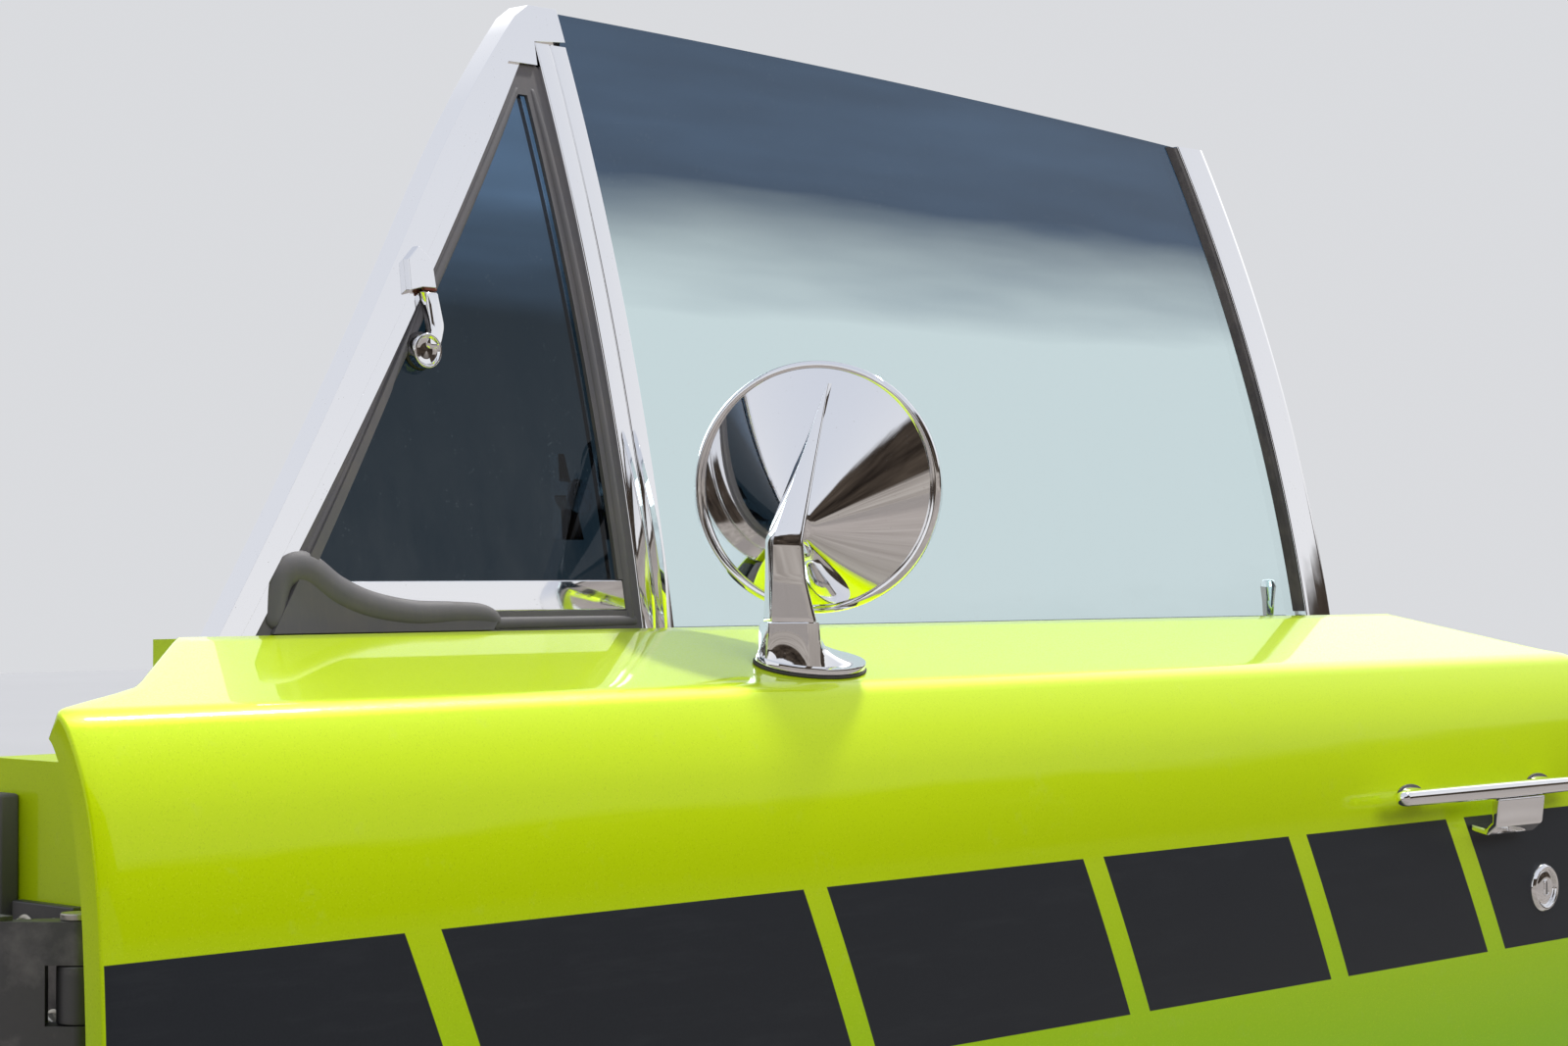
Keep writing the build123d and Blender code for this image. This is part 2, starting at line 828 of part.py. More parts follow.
with BuildPart() as vent_latch:
    with BuildSketch(side):
        with Locations((vent_latch_x, vent_latch_z)):
            Circle(vent_boss_r)
    extrude(amount=span / 4, both=True)
    follow_glass(-pane_inside, pane_inside + vent_boss_t)
    add(latch_lever.part)
save(vent_latch, "vent_latch")

# Door glass, its rear chrome and the seal ahead of it
strip_front = [(x - strip_w, z) for x, z in strip_rear]
seal_front = [(x - strip_seal_w, z) for x, z in strip_front]
glass_front = division_rear - glass_bite
glass_rear = [(x + glass_lap, z) for x, z in strip_front]


with BuildPart() as door_glass:
    with BuildSketch(side):
        with BuildLine():
            rear = ThreePointArc(*glass_rear)
            top = ThreePointArc(glass_top[0], glass_top[1], (glass_rear[2][0], glass_top[2]))
            Line(rear @ 1, top @ 1)
            Polyline(
                rear @ 0,
                (glass_rear[0][0], -glass_below_belt),
                (glass_front, -glass_below_belt),
                (glass_front, cap_under_z - bar_gap),
                (glass_top[0][0], cap_under_z - bar_gap),
                glass_top[0],
            )
        make_face()
    extrude(amount=span / 4, both=True)
    follow_glass(-door_glass_depth, door_glass_depth + door_glass_t)
save(door_glass, "door_glass")

with BuildPart() as glass_strip:
    with BuildSketch(side):
        with BuildLine():
            rear = ThreePointArc(*strip_rear)
            front = ThreePointArc(*strip_front)
            Polyline(
                rear @ 1,
                (strip_rear[2][0], strip_head_z[0]),
                (strip_front[2][0], strip_head_z[1]),
                front @ 1,
            )
            Polyline(
                rear @ 0,
                (strip_rear[0][0], strip_foot_z),
                (strip_front[0][0], strip_foot_z),
                front @ 0,
            )
        make_face()
    extrude(amount=span / 4, both=True)
    follow_glass(-strip_proud, strip_depth)
    add(door_glass.part, mode=Mode.SUBTRACT)
save(glass_strip, "glass_strip")

with BuildPart() as glass_seal:
    with BuildSketch(side):
        with BuildLine():
            rear = ThreePointArc(*strip_front)
            front = ThreePointArc(*seal_front)
            Polyline(
                rear @ 1,
                (strip_front[2][0], strip_head_z[0]),
                (seal_front[2][0], strip_head_z[0]),
                front @ 1,
            )
            Line(rear @ 0, front @ 0)
        make_face()
    extrude(amount=span / 4, both=True)
    follow_glass(-strip_proud - 1, door_glass_depth)
save(glass_seal, "glass_seal")

# Mirror: foot on the shoulder, pedestal, arm with its spike, head and glass
slope = radians(shoulder_slope)
rim_r = head_r - rim_w
shoulder = Plane(
    origin=(
        belt_x + foot_x,
        belt_y + foot_y,
        belt_z + (foot_y + belt_gap) * tan(slope),
    ),
    x_dir=(1, 0, 0),
    z_dir=(0, -sin(slope), cos(slope)),
)


def foot_outline(level, grow):
    # an oval on the shoulder
    with BuildSketch(shoulder.offset(level)) as oval:
        Ellipse(foot_a + grow, foot_b + grow)
    return oval.sketch


with BuildPart() as mirror_gasket:
    extrude(foot_outline(0, gasket_lap), amount=gasket_t)
save(mirror_gasket, "mirror_gasket")


def nose(height, ridge, step, half, rear, middle):
    # a level section of the mirror's stem, with a sharp ridge at the front
    with BuildSketch(plan.offset(height)) as outline:
        with BuildLine():
            Polyline(
                (ridge, middle),
                (ridge + step, middle - half),
                (ridge + rear - nose_round, middle - half * nose_narrow),
                (ridge + rear, middle),
                (ridge + rear - nose_round, middle + half * nose_narrow),
                (ridge + step, middle + half),
                close=True,
            )
        make_face()
    return outline.sketch


with BuildPart() as above_gasket:
    with BuildSketch(shoulder.offset(gasket_t)):
        Rectangle(4 * head_r, 4 * head_r)
    extrude(amount=2 * head_r)

with BuildPart() as mirror_base:
    loft(
        [
            nose(*foot_nose),
            nose(*base_nose),
        ],
        ruled=True,
    )
    add(above_gasket.part, mode=Mode.INTERSECT)
    extrude(foot_outline(gasket_t, 0), amount=foot_t)
save(mirror_base, "mirror_base")

aim = radians(mirror_aim)
head = Plane(
    origin=(belt_x + mirror_x, belt_y + mirror_y, belt_z + mirror_z),
    x_dir=(sin(aim), -cos(aim), 0),
    z_dir=(-cos(aim), -sin(aim), 0),
)
tilt = radians(cone_tilt)
apex = head.from_local_coords(Vector(0, -cone_drop, cone_z))
back_axis = head.z_dir * cos(tilt) - head.y_dir * sin(tilt)
back_run = 2 * head_r
with BuildPart() as back_cone:
    with BuildSketch(Plane(origin=apex, x_dir=head.x_dir, z_dir=head.x_dir.cross(back_axis))):
        with BuildLine():
            Polyline(
                (0, -cone_flat),
                (cone_flat / tan(radians(cone_slope)), -cone_flat),
                (back_run / tan(radians(cone_slope)), -back_run),
                (0, -back_run),
                close=True,
            )
        make_face()
    revolve(axis=Axis(apex, back_axis))

with BuildPart() as mirror_head:
    with BuildSketch(head.offset(bezel_lip - bezel_t)):
        Circle(rim_r)
    extrude(amount=cone_z + bezel_t)
    add(back_cone.part, mode=Mode.INTERSECT)
save(mirror_head, "mirror_head")

with BuildPart() as mirror_bezel:
    with BuildSketch(Plane(origin=head.origin, x_dir=head.x_dir, z_dir=-head.y_dir)):
        with BuildLine():
            Polyline(
                (rim_r, 0.8),
                (head_r, -0.8),
                (head_r, -bezel_t),
                (rim_r - rim_lap, -bezel_t),
                (rim_r - rim_lap, bezel_lip - bezel_t),
                (rim_r, bezel_lip - bezel_t),
                close=True,
            )
        make_face()
    revolve(axis=Axis(head.origin, head.z_dir))
save(mirror_bezel, "mirror_bezel")

with BuildPart() as mirror_glass:
    with BuildSketch(head.offset(bezel_lip - bezel_t - mirror_glass_t)):
        Circle(rim_r - rim_lap)
    extrude(amount=mirror_glass_t)
save(mirror_glass, "mirror_glass")

spike_tip = head.from_local_coords(Vector(*spike_tip_at))
knee = nose(*knee_nose)
with BuildPart() as arm_spike:
    tip_outline = nose(
        spike_tip.Z - belt_z, spike_tip.X - belt_x - spike_ahead, *spike_size, spike_tip.Y - belt_y
    )
    loft([knee, tip_outline], ruled=True)

with BuildPart() as mirror_arm:
    loft(
        [
            nose(*seam_nose),
            nose(*neck_nose),
            knee,
        ],
        ruled=True,
    )
    add(arm_spike.part)
    add(mirror_head.part, mode=Mode.SUBTRACT)
    add(mirror_bezel.part, mode=Mode.SUBTRACT)
save(mirror_arm, "mirror_arm")

# Outside handle: grip bar on two feet, a trigger behind it, and the lock below
with BuildPart() as handle_bar:
    with BuildSketch(side.offset(-handle_out_y - handle_w)):
        with Locations(((handle_x[0] + handle_x[1]) / 2, handle_z)):
            SlotOverall(handle_x[1] - handle_x[0], handle_h)
    extrude(amount=handle_w)
    chamfer(handle_bar.faces().sort_by(Axis.Y)[0].edges(), handle_bevel)
    with BuildSketch(side.offset(-handle_out_y - handle_w)):
        for foot in handle_feet:
            with Locations((foot, handle_z)):
                SlotOverall(handle_foot_w, handle_h - 1)
    extrude(amount=handle_out_y + handle_w - mirror_y)
    add(painted_solid.part, mode=Mode.SUBTRACT)
save(handle_bar, "handle_bar")

with BuildPart() as handle_trigger:
    with BuildSketch(section.offset(trigger_x[0])):
        with BuildLine():
            inside_y = handle_out_y + handle_w
            Polyline(
                (inside_y - trigger_root[0], handle_z - handle_h / 2),
                (inside_y - trigger_root[1], handle_z - handle_h / 2),
                (inside_y - trigger_root[1] + trigger_t / 2, trigger_z + 1.5 * trigger_t),
                (inside_y, trigger_z),
                (inside_y + trigger_hook, trigger_z + trigger_t),
                (inside_y + trigger_hook, trigger_z + 2 * trigger_t),
                (inside_y + trigger_t / 2, trigger_z + trigger_t),
                (inside_y - trigger_root[0], trigger_z + 2 * trigger_t),
                close=True,
            )
        make_face()
    extrude(amount=trigger_x[1] - trigger_x[0])
    add(painted_solid.part, mode=Mode.SUBTRACT)
save(handle_trigger, "handle_trigger")

with BuildPart() as lock_cylinder:
    with BuildSketch(side.offset(-lock_out_y - lock_t)):
        with Locations((lock_x, lock_z)):
            Circle(lock_r)
    extrude(amount=lock_t)
    chamfer(lock_cylinder.faces().sort_by(Axis.Y)[0].edges(), lock_bevel)
    with BuildSketch(side.offset(-lock_out_y)):
        with Locations((lock_x, lock_z)):
            Rectangle(*keyhole)
    extrude(amount=-lock_bevel, mode=Mode.SUBTRACT)
    add(painted_solid.part, mode=Mode.SUBTRACT)
save(lock_cylinder, "lock_cylinder")

# Cabin side: trim panel, armrest, crank, pull and lock knob
trim_face = inner_y + trim_t
cabin = side.offset(-trim_face)

with BuildPart() as trim_panel:
    with BuildSketch(side.offset(-inner_y)):
        with Locations(((trim_x[0] + trim_x[1]) / 2, (trim_z[0] + trim_z[1]) / 2)):
            RectangleRounded(trim_x[1] - trim_x[0], trim_z[1] - trim_z[0], trim_r)
    extrude(amount=-trim_t)
    with BuildSketch(cabin):
        for row in range(pleats):
            with Locations(((trim_x[0] + trim_x[1]) / 2, pleat_top_z - pleat_pitch * row)):
                RectangleRounded(
                    trim_x[1] - trim_x[0] - 2 * pleat_inset, pleat_h, pleat_h / 2.5
                )
    extrude(amount=-pleat_t)
    add(latch_slot.part, mode=Mode.SUBTRACT)
save(trim_panel, "trim_panel")

with BuildPart() as armrest:
    with BuildSketch(cabin):
        with Locations(((armrest_x[0] + armrest_x[1]) / 2, (armrest_z[0] + armrest_z[1]) / 2)):
            RectangleRounded(
                armrest_x[1] - armrest_x[0], armrest_z[1] - armrest_z[0], armrest_r
            )
    extrude(amount=-armrest_d)
    chamfer(armrest.faces().sort_by(Axis.Y)[-1].edges(), armrest_bevel)
    # finger cup behind the pad
    with BuildSketch(plan.offset(armrest_z[1] - cup_deep)):
        with Locations((cup_x, trim_face + armrest_bevel)):
            Rectangle(cup_w, cup_d, align=(Align.CENTER, Align.MIN))
    extrude(amount=2 * cup_deep, mode=Mode.SUBTRACT)
save(armrest, "armrest")

with BuildPart() as window_crank:
    with BuildSketch(cabin):
        with Locations((crank_x, crank_z)):
            Circle(crank_boss_r)
    extrude(amount=-crank_boss_t)
    chamfer(window_crank.faces().sort_by(Axis.Y)[-1].edges(), crank_boss_t / 3)
    with BuildSketch(cabin.offset(-crank_boss_t)):
        with Locations((crank_x, crank_z), (crank_x + crank_len, crank_z)):
            Circle(crank_arm_w / 2)
        make_hull()
    extrude(amount=-crank_arm_t)
save(window_crank, "window_crank")

with BuildPart() as crank_knob:
    with BuildSketch(cabin.offset(-crank_boss_t - crank_arm_t)):
        with Locations((crank_x + crank_len, crank_z)):
            Circle(crank_knob_r)
    extrude(amount=-crank_knob_l)
    chamfer(crank_knob.faces().sort_by(Axis.Y)[-1].edges(), crank_knob_r / 2.5)
save(crank_knob, "crank_knob")

with BuildPart() as pull_plate:
    with BuildSketch(cabin):
        with Locations((pull_x, pull_z)):
            SlotOverall(2 * pull_len / 3, 2 * pull_w)
    extrude(amount=-pull_plate_t)
save(pull_plate, "pull_plate")

with BuildPart() as pull_lever:
    with BuildSketch(cabin.offset(-pull_plate_t)):
        with Locations((pull_x - pull_w, pull_z)):
            Circle(pull_pivot_r)
    extrude(amount=-pull_lift - pull_w / 2)
    with BuildSketch(cabin.offset(-pull_plate_t - pull_lift)):
        with Locations((pull_x + pull_len / 2 - 2 * pull_w, pull_z)):
            SlotOverall(pull_len, pull_w)
    extrude(amount=-pull_w / 2)
save(pull_lever, "pull_lever")

with BuildPart() as lock_knob:
    with BuildSketch(plan.offset(trim_z[1])):
        with Locations((knob_x, inner_y + trim_t / 2)):
            Circle(knob_r / 2)
    extrude(amount=knob_h / 3)
    with BuildSketch(plan.offset(trim_z[1] + knob_h / 3)):
        with Locations((knob_x, inner_y + trim_t / 2)):
            Circle(knob_r)
    extrude(amount=2 * knob_h / 3)
    chamfer(lock_knob.faces().sort_by(Axis.Z)[-1].edges(), knob_r / 4)
save(lock_knob, "lock_knob")
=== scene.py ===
import bpy
import bmesh
from math import atan2, cos, exp, pi, radians, sin, sqrt, tan
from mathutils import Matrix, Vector


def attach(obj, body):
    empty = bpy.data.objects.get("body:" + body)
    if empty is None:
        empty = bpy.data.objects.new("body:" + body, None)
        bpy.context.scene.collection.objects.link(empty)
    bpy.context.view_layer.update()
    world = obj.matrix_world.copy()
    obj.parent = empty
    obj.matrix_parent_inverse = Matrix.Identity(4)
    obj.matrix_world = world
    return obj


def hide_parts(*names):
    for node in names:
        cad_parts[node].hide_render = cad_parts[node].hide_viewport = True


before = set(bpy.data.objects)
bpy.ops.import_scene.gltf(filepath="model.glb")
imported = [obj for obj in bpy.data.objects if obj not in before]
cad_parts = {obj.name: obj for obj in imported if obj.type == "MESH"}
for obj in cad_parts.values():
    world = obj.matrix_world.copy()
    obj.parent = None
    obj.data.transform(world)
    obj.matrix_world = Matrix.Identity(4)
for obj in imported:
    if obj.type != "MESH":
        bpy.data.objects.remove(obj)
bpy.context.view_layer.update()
print("frame loaded")

# Lengths are millimetres from the belt line's reference point, turned to metres when a mesh is made
mm = 0.001
belt = Vector((430, 30, 143))
rearward, cabinward, upward = Vector((1, 0, 0)), Vector((0, 1, 0)), Vector((0, 0, 1))


def fromBelt(x, y, z):
    return (belt + Vector((x, y, z))) * mm


def turns(count):
    return [2 * pi * k / count for k in range(count)]


def span(first, last, steps):
    return [first + (last - first) * k / steps for k in range(steps + 1)]


def added(name, data):
    thing = bpy.data.objects.new(name, data)
    bpy.context.scene.collection.objects.link(thing)
    return thing


# Camera at the photograph's viewing angle
view = {"place": (-0.7327, -1.1767, 0.1752), "pitch": 90.714, "yaw": -46, "lens": 74.925, "film": 36}
camera = added("camera", bpy.data.cameras.new("camera"))
camera.location = view["place"]
camera.rotation_euler = (radians(view["pitch"]), 0, radians(view["yaw"]))
camera.data.lens = view["lens"]
camera.data.sensor_width = view["film"]
camera.data.clip_start = 0.01
bpy.context.scene.camera = camera
bpy.context.scene.view_settings.view_transform = "Standard"


# Shader sums: a socket that takes part in arithmetic adds its own Math node
class Signal:
    def __init__(self, paint, socket):
        self.paint = paint
        self.socket = socket

    def __add__(self, other):
        return self.paint.math("ADD", self, other)

    def __radd__(self, other):
        return self.paint.math("ADD", other, self)

    def __sub__(self, other):
        return self.paint.math("SUBTRACT", self, other)

    def __rsub__(self, other):
        return self.paint.math("SUBTRACT", other, self)

    def __mul__(self, other):
        return self.paint.math("MULTIPLY", self, other)

    def __rmul__(self, other):
        return self.paint.math("MULTIPLY", other, self)

    def __truediv__(self, other):
        return self.paint.math("DIVIDE", self, other)

    def __rtruediv__(self, other):
        return self.paint.math("DIVIDE", other, self)

    def clamp(self):
        return self.paint.math("ADD", self, 0.0, clamp=True)

    def abs(self):
        return self.paint.math("ABSOLUTE", self)

    def power(self, exponent):
        return self.paint.math("POWER", self, exponent)

    def least(self, other):
        return self.paint.math("MINIMUM", self, other)

    def most(self, other):
        return self.paint.math("MAXIMUM", self, other)

    def above(self, edge, soft):
        return ((self - edge) / soft + 0.5).clamp()


class Paint:
    def __init__(self, name, tree=None, coordinates="Object"):
        if tree is None:
            self.material = bpy.data.materials.new(name)
            self.material.use_nodes = True
            tree = self.material.node_tree
        self.tree = tree
        self.tree.nodes.clear()
        self.where = self.node("ShaderNodeTexCoord", {}, {}, coordinates)

    def node(self, kind, settings, inputs, output=0):
        made = self.tree.nodes.new(kind)
        for key, value in settings.items():
            setattr(made, key, value)
        for key, value in inputs.items():
            socket = made.inputs[key]
            if isinstance(value, Signal):
                self.tree.links.new(value.socket, socket)
            else:
                socket.default_value = (*value, 1) if socket.type == "RGBA" else value
        return Signal(self, made.outputs[output]) if made.outputs else made

    def math(self, operation, first, second=0.0, clamp=False):
        settings = {"operation": operation, "use_clamp": clamp}
        return self.node("ShaderNodeMath", settings, {0: first, 1: second})

    def mix(self, factor, first, second):
        return self.node("ShaderNodeMix", {"data_type": "RGBA"}, {0: factor, 6: first, 7: second}, 2)

    def axes(self, vector):
        first = self.node("ShaderNodeSeparateXYZ", {}, {0: vector})
        return [Signal(self, socket) for socket in first.socket.node.outputs]

    def noise(self, scale, detail=3, rough=0.5, stretch=None):
        vector = self.where
        if stretch:
            vector = self.node("ShaderNodeMapping", {}, {"Vector": vector, "Scale": stretch})
        inputs = {"Vector": vector, "Scale": scale, "Detail": detail, "Roughness": rough}
        return self.node("ShaderNodeTexNoise", {}, inputs, "Fac")

    def cells(self, scale, output="Distance", feature="F1"):
        inputs = {"Vector": self.where, "Scale": scale}
        return self.node("ShaderNodeTexVoronoi", {"feature": feature}, inputs, output)

    def bump(self, height, strength, distance):
        return self.node("ShaderNodeBump", {}, {"Height": height, "Strength": strength, "Distance": distance})

    def openly(self):
        # 1 for what the camera sees, straight or through glass
        camera, glass = (
            self.node("ShaderNodeLightPath", {}, {}, f"Is {kind} Ray") for kind in ("Camera", "Transmission")
        )
        return camera.most(glass)

    def shader(self, inputs):
        return self.node("ShaderNodeBsdfPrincipled", {}, inputs)

    def finish(self, shader):
        self.node("ShaderNodeOutputMaterial", {}, {"Surface": shader})
        return self.material

    def surface(self, inputs):
        return self.finish(self.shader(inputs))


# Materials
# side and sideLight are the lime's own tones; low is painted shade, a darker greener lime laid on the lower
# panel
lime = {
    "side": (0.58, 0.79, 0.001), "sideLight": (0.63, 0.84, 0.001), "low": (0.24, 0.64, 0.001),
    "paintedShadeZ": -215, "paintedShadeSoft": 0.20, "flakeLight": (0.86, 0.95, 0.05), "flakeDark": (0.30, 0.46, 0.0),
    "dust": (0.72, 0.72, 0.62), "tint": (0.8, 1.0, 0.02), "shoulderZ": -40, "shoulderSoft": 0.022,
}
stripe = {
    "top": (belt.z - 123.7) * mm, "topX": (belt.x - 135) * mm, "topRise": 0.0037,
    "foot": (belt.z - 207.3) * mm, "footX": (belt.x + 224) * mm, "footRise": 0.0093,
    "ends": ((belt.x - 429.4) * mm, (belt.x + 720.7) * mm), "soft": 0.0004,
    "gaps": [  # start, end, lean
        (-278.7, -258.7, 0.389), (-33.6, -17.5, 0.397), (179.2, 196.1, 0.43), (364.1, 381.4, 0.453),
        (526.5, 546.1, 0.507),
    ],
    "film": ((0.013, 0.016, 0.021), (0.019, 0.023, 0.029), (0.08, 0.085, 0.09)),
}


def limePaint(name, striped):
    paint = Paint(name)
    x, z = paint.axes(paint.where)[::2]
    sparkle, tone = paint.axes(paint.cells(1900, "Color"))[:2]
    color = paint.mix(paint.noise(3.2, 2), lime["side"], lime["sideLight"])
    # painted shade: lower down the lime turns darker and greener, as a panel facing the ground looks in shade
    color = paint.mix(z.above((belt.z + lime["paintedShadeZ"]) * mm, lime["paintedShadeSoft"]), lime["low"], color)
    color = paint.mix(sparkle.above(0.93, 0.06) * 0.2, color, lime["flakeLight"])
    color = paint.mix(tone.above(0.94, 0.06) * 0.2, color, lime["flakeDark"])
    dust = paint.noise(46, 8, 0.72).above(0.66, 0.12)
    shoulder = z.above((belt.z + lime["shoulderZ"]) * mm, lime["shoulderSoft"])
    coloured = paint.shader({
        "Base Color": paint.mix(dust * 0.04, color, lime["dust"]),
        "Roughness": 0.36 + (sparkle - 0.5) * 0.16,
        "Metallic": 0.12 + sparkle * 0.08,
        "Specular IOR Level": 0.3,
        "Specular Tint": lime["tint"],
        "Coat Weight": 0.5 + shoulder * 0.5 - dust * 0.1,
        "Coat Roughness": 0.035,
        "Coat IOR": 1.5,
        "Normal": paint.bump(sparkle, 0.10, 0.00006),
    })
    if not striped:
        return paint.finish(coloured)
    soft = stripe["soft"]
    ceiling = (x - stripe["topX"]) * stripe["topRise"] + stripe["top"]
    floor = (x - stripe["footX"]) * stripe["footRise"] + stripe["foot"]
    front, rear = stripe["ends"]
    inside = (ceiling - z).above(0.0, soft).least((z - floor).above(0.0, soft))
    inside = inside.least((x - front).above(0.0, soft)).least((rear - x).above(0.0, soft))
    for start, end, lean in stripe["gaps"]:
        ahead = x + (z - stripe["top"]) * lean
        middle = (belt.x + (start + end) / 2) * mm
        inside = inside.least((ahead - middle).abs().above((end - start) / 2 * mm, soft))
    dark, light, worn = stripe["film"]
    grain = paint.noise(900, 2)
    scuff = paint.noise(3, 6, 0.7, stretch=(5, 5, 40)).above(0.62, 0.2)
    filmed = paint.shader({
        "Base Color": paint.mix(scuff * 0.12, paint.mix(grain, dark, light), worn),
        "Roughness": 0.42 + scuff * 0.1,
        "Specular IOR Level": 0.35,
        "Normal": paint.bump(grain, 0.12, 0.00008),
    })
    return paint.finish(paint.node("ShaderNodeMixShader", {}, {0: inside, 1: coloured, 2: filmed}))


def chromePaint(name, tint=(0.93, 0.93, 0.935), wear=1.0):
    paint = Paint(name)
    haze = paint.noise(34, 6, 0.65).above(0.62, 0.3)
    pits = 1 - paint.cells(420).above(0.10, 0.03)
    spots = pits * paint.noise(60, 2).above(0.60, 0.05) * wear
    wiped = paint.noise(3, 5, 0.7, stretch=(30, 30, 900))
    ripple = paint.noise(7, 1)
    return paint.surface({
        "Base Color": paint.mix(spots * 0.5, tint, (0.35, 0.31, 0.26)),
        "Metallic": 1.0,
        "Roughness": 0.035 + haze * 0.05 * wear + spots * 0.3 + wiped * 0.015,
        "Normal": paint.bump(ripple + spots * 0.02, 0.10, 0.0006),
    })


def rubberPaint(name, base=(0.040, 0.037, 0.039), dusty=0.35):
    paint = Paint(name)
    grain = paint.noise(1500, 3, 0.6)
    blotch = paint.noise(28, 6, 0.66)
    chalk = blotch.above(0.58, 0.26) * dusty
    streak = paint.noise(6, 4, stretch=(60, 60, 9)).above(0.6, 0.2)
    return paint.surface({
        "Base Color": paint.mix(chalk + streak * 0.12, base, (0.16, 0.14, 0.13)),
        "Roughness": 0.50 + blotch * 0.2 + chalk * 0.2,
        "Specular IOR Level": 0.45,
        "Normal": paint.bump(grain + blotch * 0.8, 0.35, 0.00012),
    })


def steelPaint(name, color, worn, rough, metallic):
    paint = Paint(name)
    cast = paint.noise(260, 5, 0.62)
    wear = paint.noise(38, 6, 0.6).above(0.62, 0.22) * 0.8
    return paint.surface({
        "Base Color": paint.mix(wear, color, worn),
        "Metallic": metallic,
        "Roughness": rough + cast * 0.2 - wear * 0.1,
        "Normal": paint.bump(cast, 0.35, 0.00016),
    })


def glassPaint(name, tint, dark, head, edge, dusty):
    # the pane darkens towards its head with painted shade that stands in for the dark cabin seen through it,
    # and dust gathers at its foot
    paint = Paint(name)
    z = paint.axes(paint.where)[2]
    drift = paint.noise(3, 3, stretch=(1.2, 1.2, 9))
    # painted shade: above the edge height the pane takes the dark and head colours
    band = (z + (drift - 0.5) * 0.05).above((belt.z + edge) * mm, 0.07)
    shade = paint.mix(band, tint, paint.mix(drift, dark, head))
    fade = (1 - (z - (belt.z + 20) * mm) / 0.16).clamp()
    specks = 1 - paint.cells(330).above(0.13, 0.06)
    few = paint.noise(85, 2).above(0.60, 0.08)
    film = paint.noise(3, 6, 0.7, stretch=(14, 14, 5)).above(0.52, 0.4)
    dirt = (specks * few * 0.8 + film * fade * 0.10) * dusty
    return paint.surface({
        "Base Color": paint.mix(dirt, shade, (0.70, 0.70, 0.66)),
        "Roughness": (dirt * 0.5).clamp(),
        "IOR": 1.33,
        "Transmission Weight": 1.0,
    })


def vinylPaint(name):
    paint = Paint(name)
    pebble = paint.cells(620)
    crease = paint.cells(210, "Distance", "DISTANCE_TO_EDGE").above(0.05, 0.1)
    broad = paint.noise(9, 5, 0.6)
    return paint.surface({
        "Base Color": paint.mix(broad, (0.022, 0.022, 0.024), (0.044, 0.043, 0.046)),
        "Roughness": 0.40 + broad * 0.16 + (1 - crease) * 0.12,
        "Specular IOR Level": 0.5,
        "Normal": paint.bump(crease * 0.8 - pebble * 0.6, 0.45, 0.0003),
    })


def plasticPaint(name):
    paint = Paint(name)
    smear = paint.noise(30, 5)
    return paint.surface({
        "Base Color": paint.mix(smear, (0.012, 0.012, 0.013), (0.03, 0.03, 0.03)),
        "Roughness": 0.26 + smear * 0.16,
        "Coat Weight": 0.3,
        "Normal": paint.bump(paint.noise(800, 3), 0.12, 0.0001),
    })


def carpetPaint(name):
    paint = Paint(name)
    shade = paint.noise(60, 4)
    return paint.surface({
        "Base Color": paint.mix(shade, (0.010, 0.010, 0.011), (0.030, 0.029, 0.030)),
        "Roughness": 0.92 + shade * 0.05,
        "Sheen Weight": 0.25,
        "Normal": paint.bump(1 - paint.cells(520), 0.9, 0.0016),
    })


finishes = {
    "lime_paint": limePaint("lime_panel", False),
    "striped": limePaint("lime_striped", True),
    "chrome": chromePaint("chrome"),
    "polished": chromePaint("chrome_polished", wear=0.7),
    "black_rubber": rubberPaint("black_rubber"),
    "soft_rubber": rubberPaint("soft_rubber", (0.10, 0.097, 0.105), 0.3),
    "hinge_steel": steelPaint("hinge_steel", (0.11, 0.11, 0.112), (0.24, 0.235, 0.23), 0.40, 0.8),
    "zinc_steel": steelPaint("zinc_steel", (0.50, 0.48, 0.42), (0.62, 0.60, 0.56), 0.26, 1.0),
    "brown_washer": rubberPaint("brown_washer", (0.16, 0.035, 0.015), 0.2),
    # painted shade: the door pane's dark and head colours stand for the dark cabin behind it; its pale tint
    # is the glass's own
    "tinted_glass": glassPaint(
        "tinted_glass", (0.80, 0.95, 0.95), (0.035, 0.055, 0.085), (0.10, 0.17, 0.27), 205, 0.4
    ),
    # painted shade: the vent pane is near black, with a bluish band towards its head, to stand for the dark
    # cabin seen through it
    "vent_glass": glassPaint(
        "vent_glass", (0.007, 0.020, 0.032), (0.05, 0.09, 0.14), (0.13, 0.24, 0.40), 190, 0.35
    ),
    "mirror_silver": chromePaint("mirror_silver", (0.90, 0.92, 0.93), 0.2),
    "black_vinyl": vinylPaint("black_vinyl"),
    "black_plastic": plasticPaint("black_plastic"),
    "kick_carpet": carpetPaint("kick_carpet"),
}
print("materials made")


# Ways of making a piece
def settle(piece, finish, replaced=None, body="door", sharp=38):
    mesh = piece.data
    if "custom_normal" in mesh.attributes:
        mesh.attributes.remove(mesh.attributes["custom_normal"])
    mesh.shade_smooth()
    if sharp:
        mesh.set_sharp_from_angle(angle=radians(sharp))
    mesh.materials.clear()
    mesh.materials.append(finishes[finish])
    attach(piece, body)
    if replaced:
        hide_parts(replaced)
    return piece


def build(name, points, faces):
    mesh = bpy.data.meshes.new(name)
    mesh.from_pydata([tuple(point) for point in points], [], faces)
    mesh.validate()
    return added(name, mesh)


def modify(piece, kind, settings):
    modifier = piece.modifiers.new(kind.lower(), kind)
    for key, value in settings.items():
        setattr(modifier, key, value)


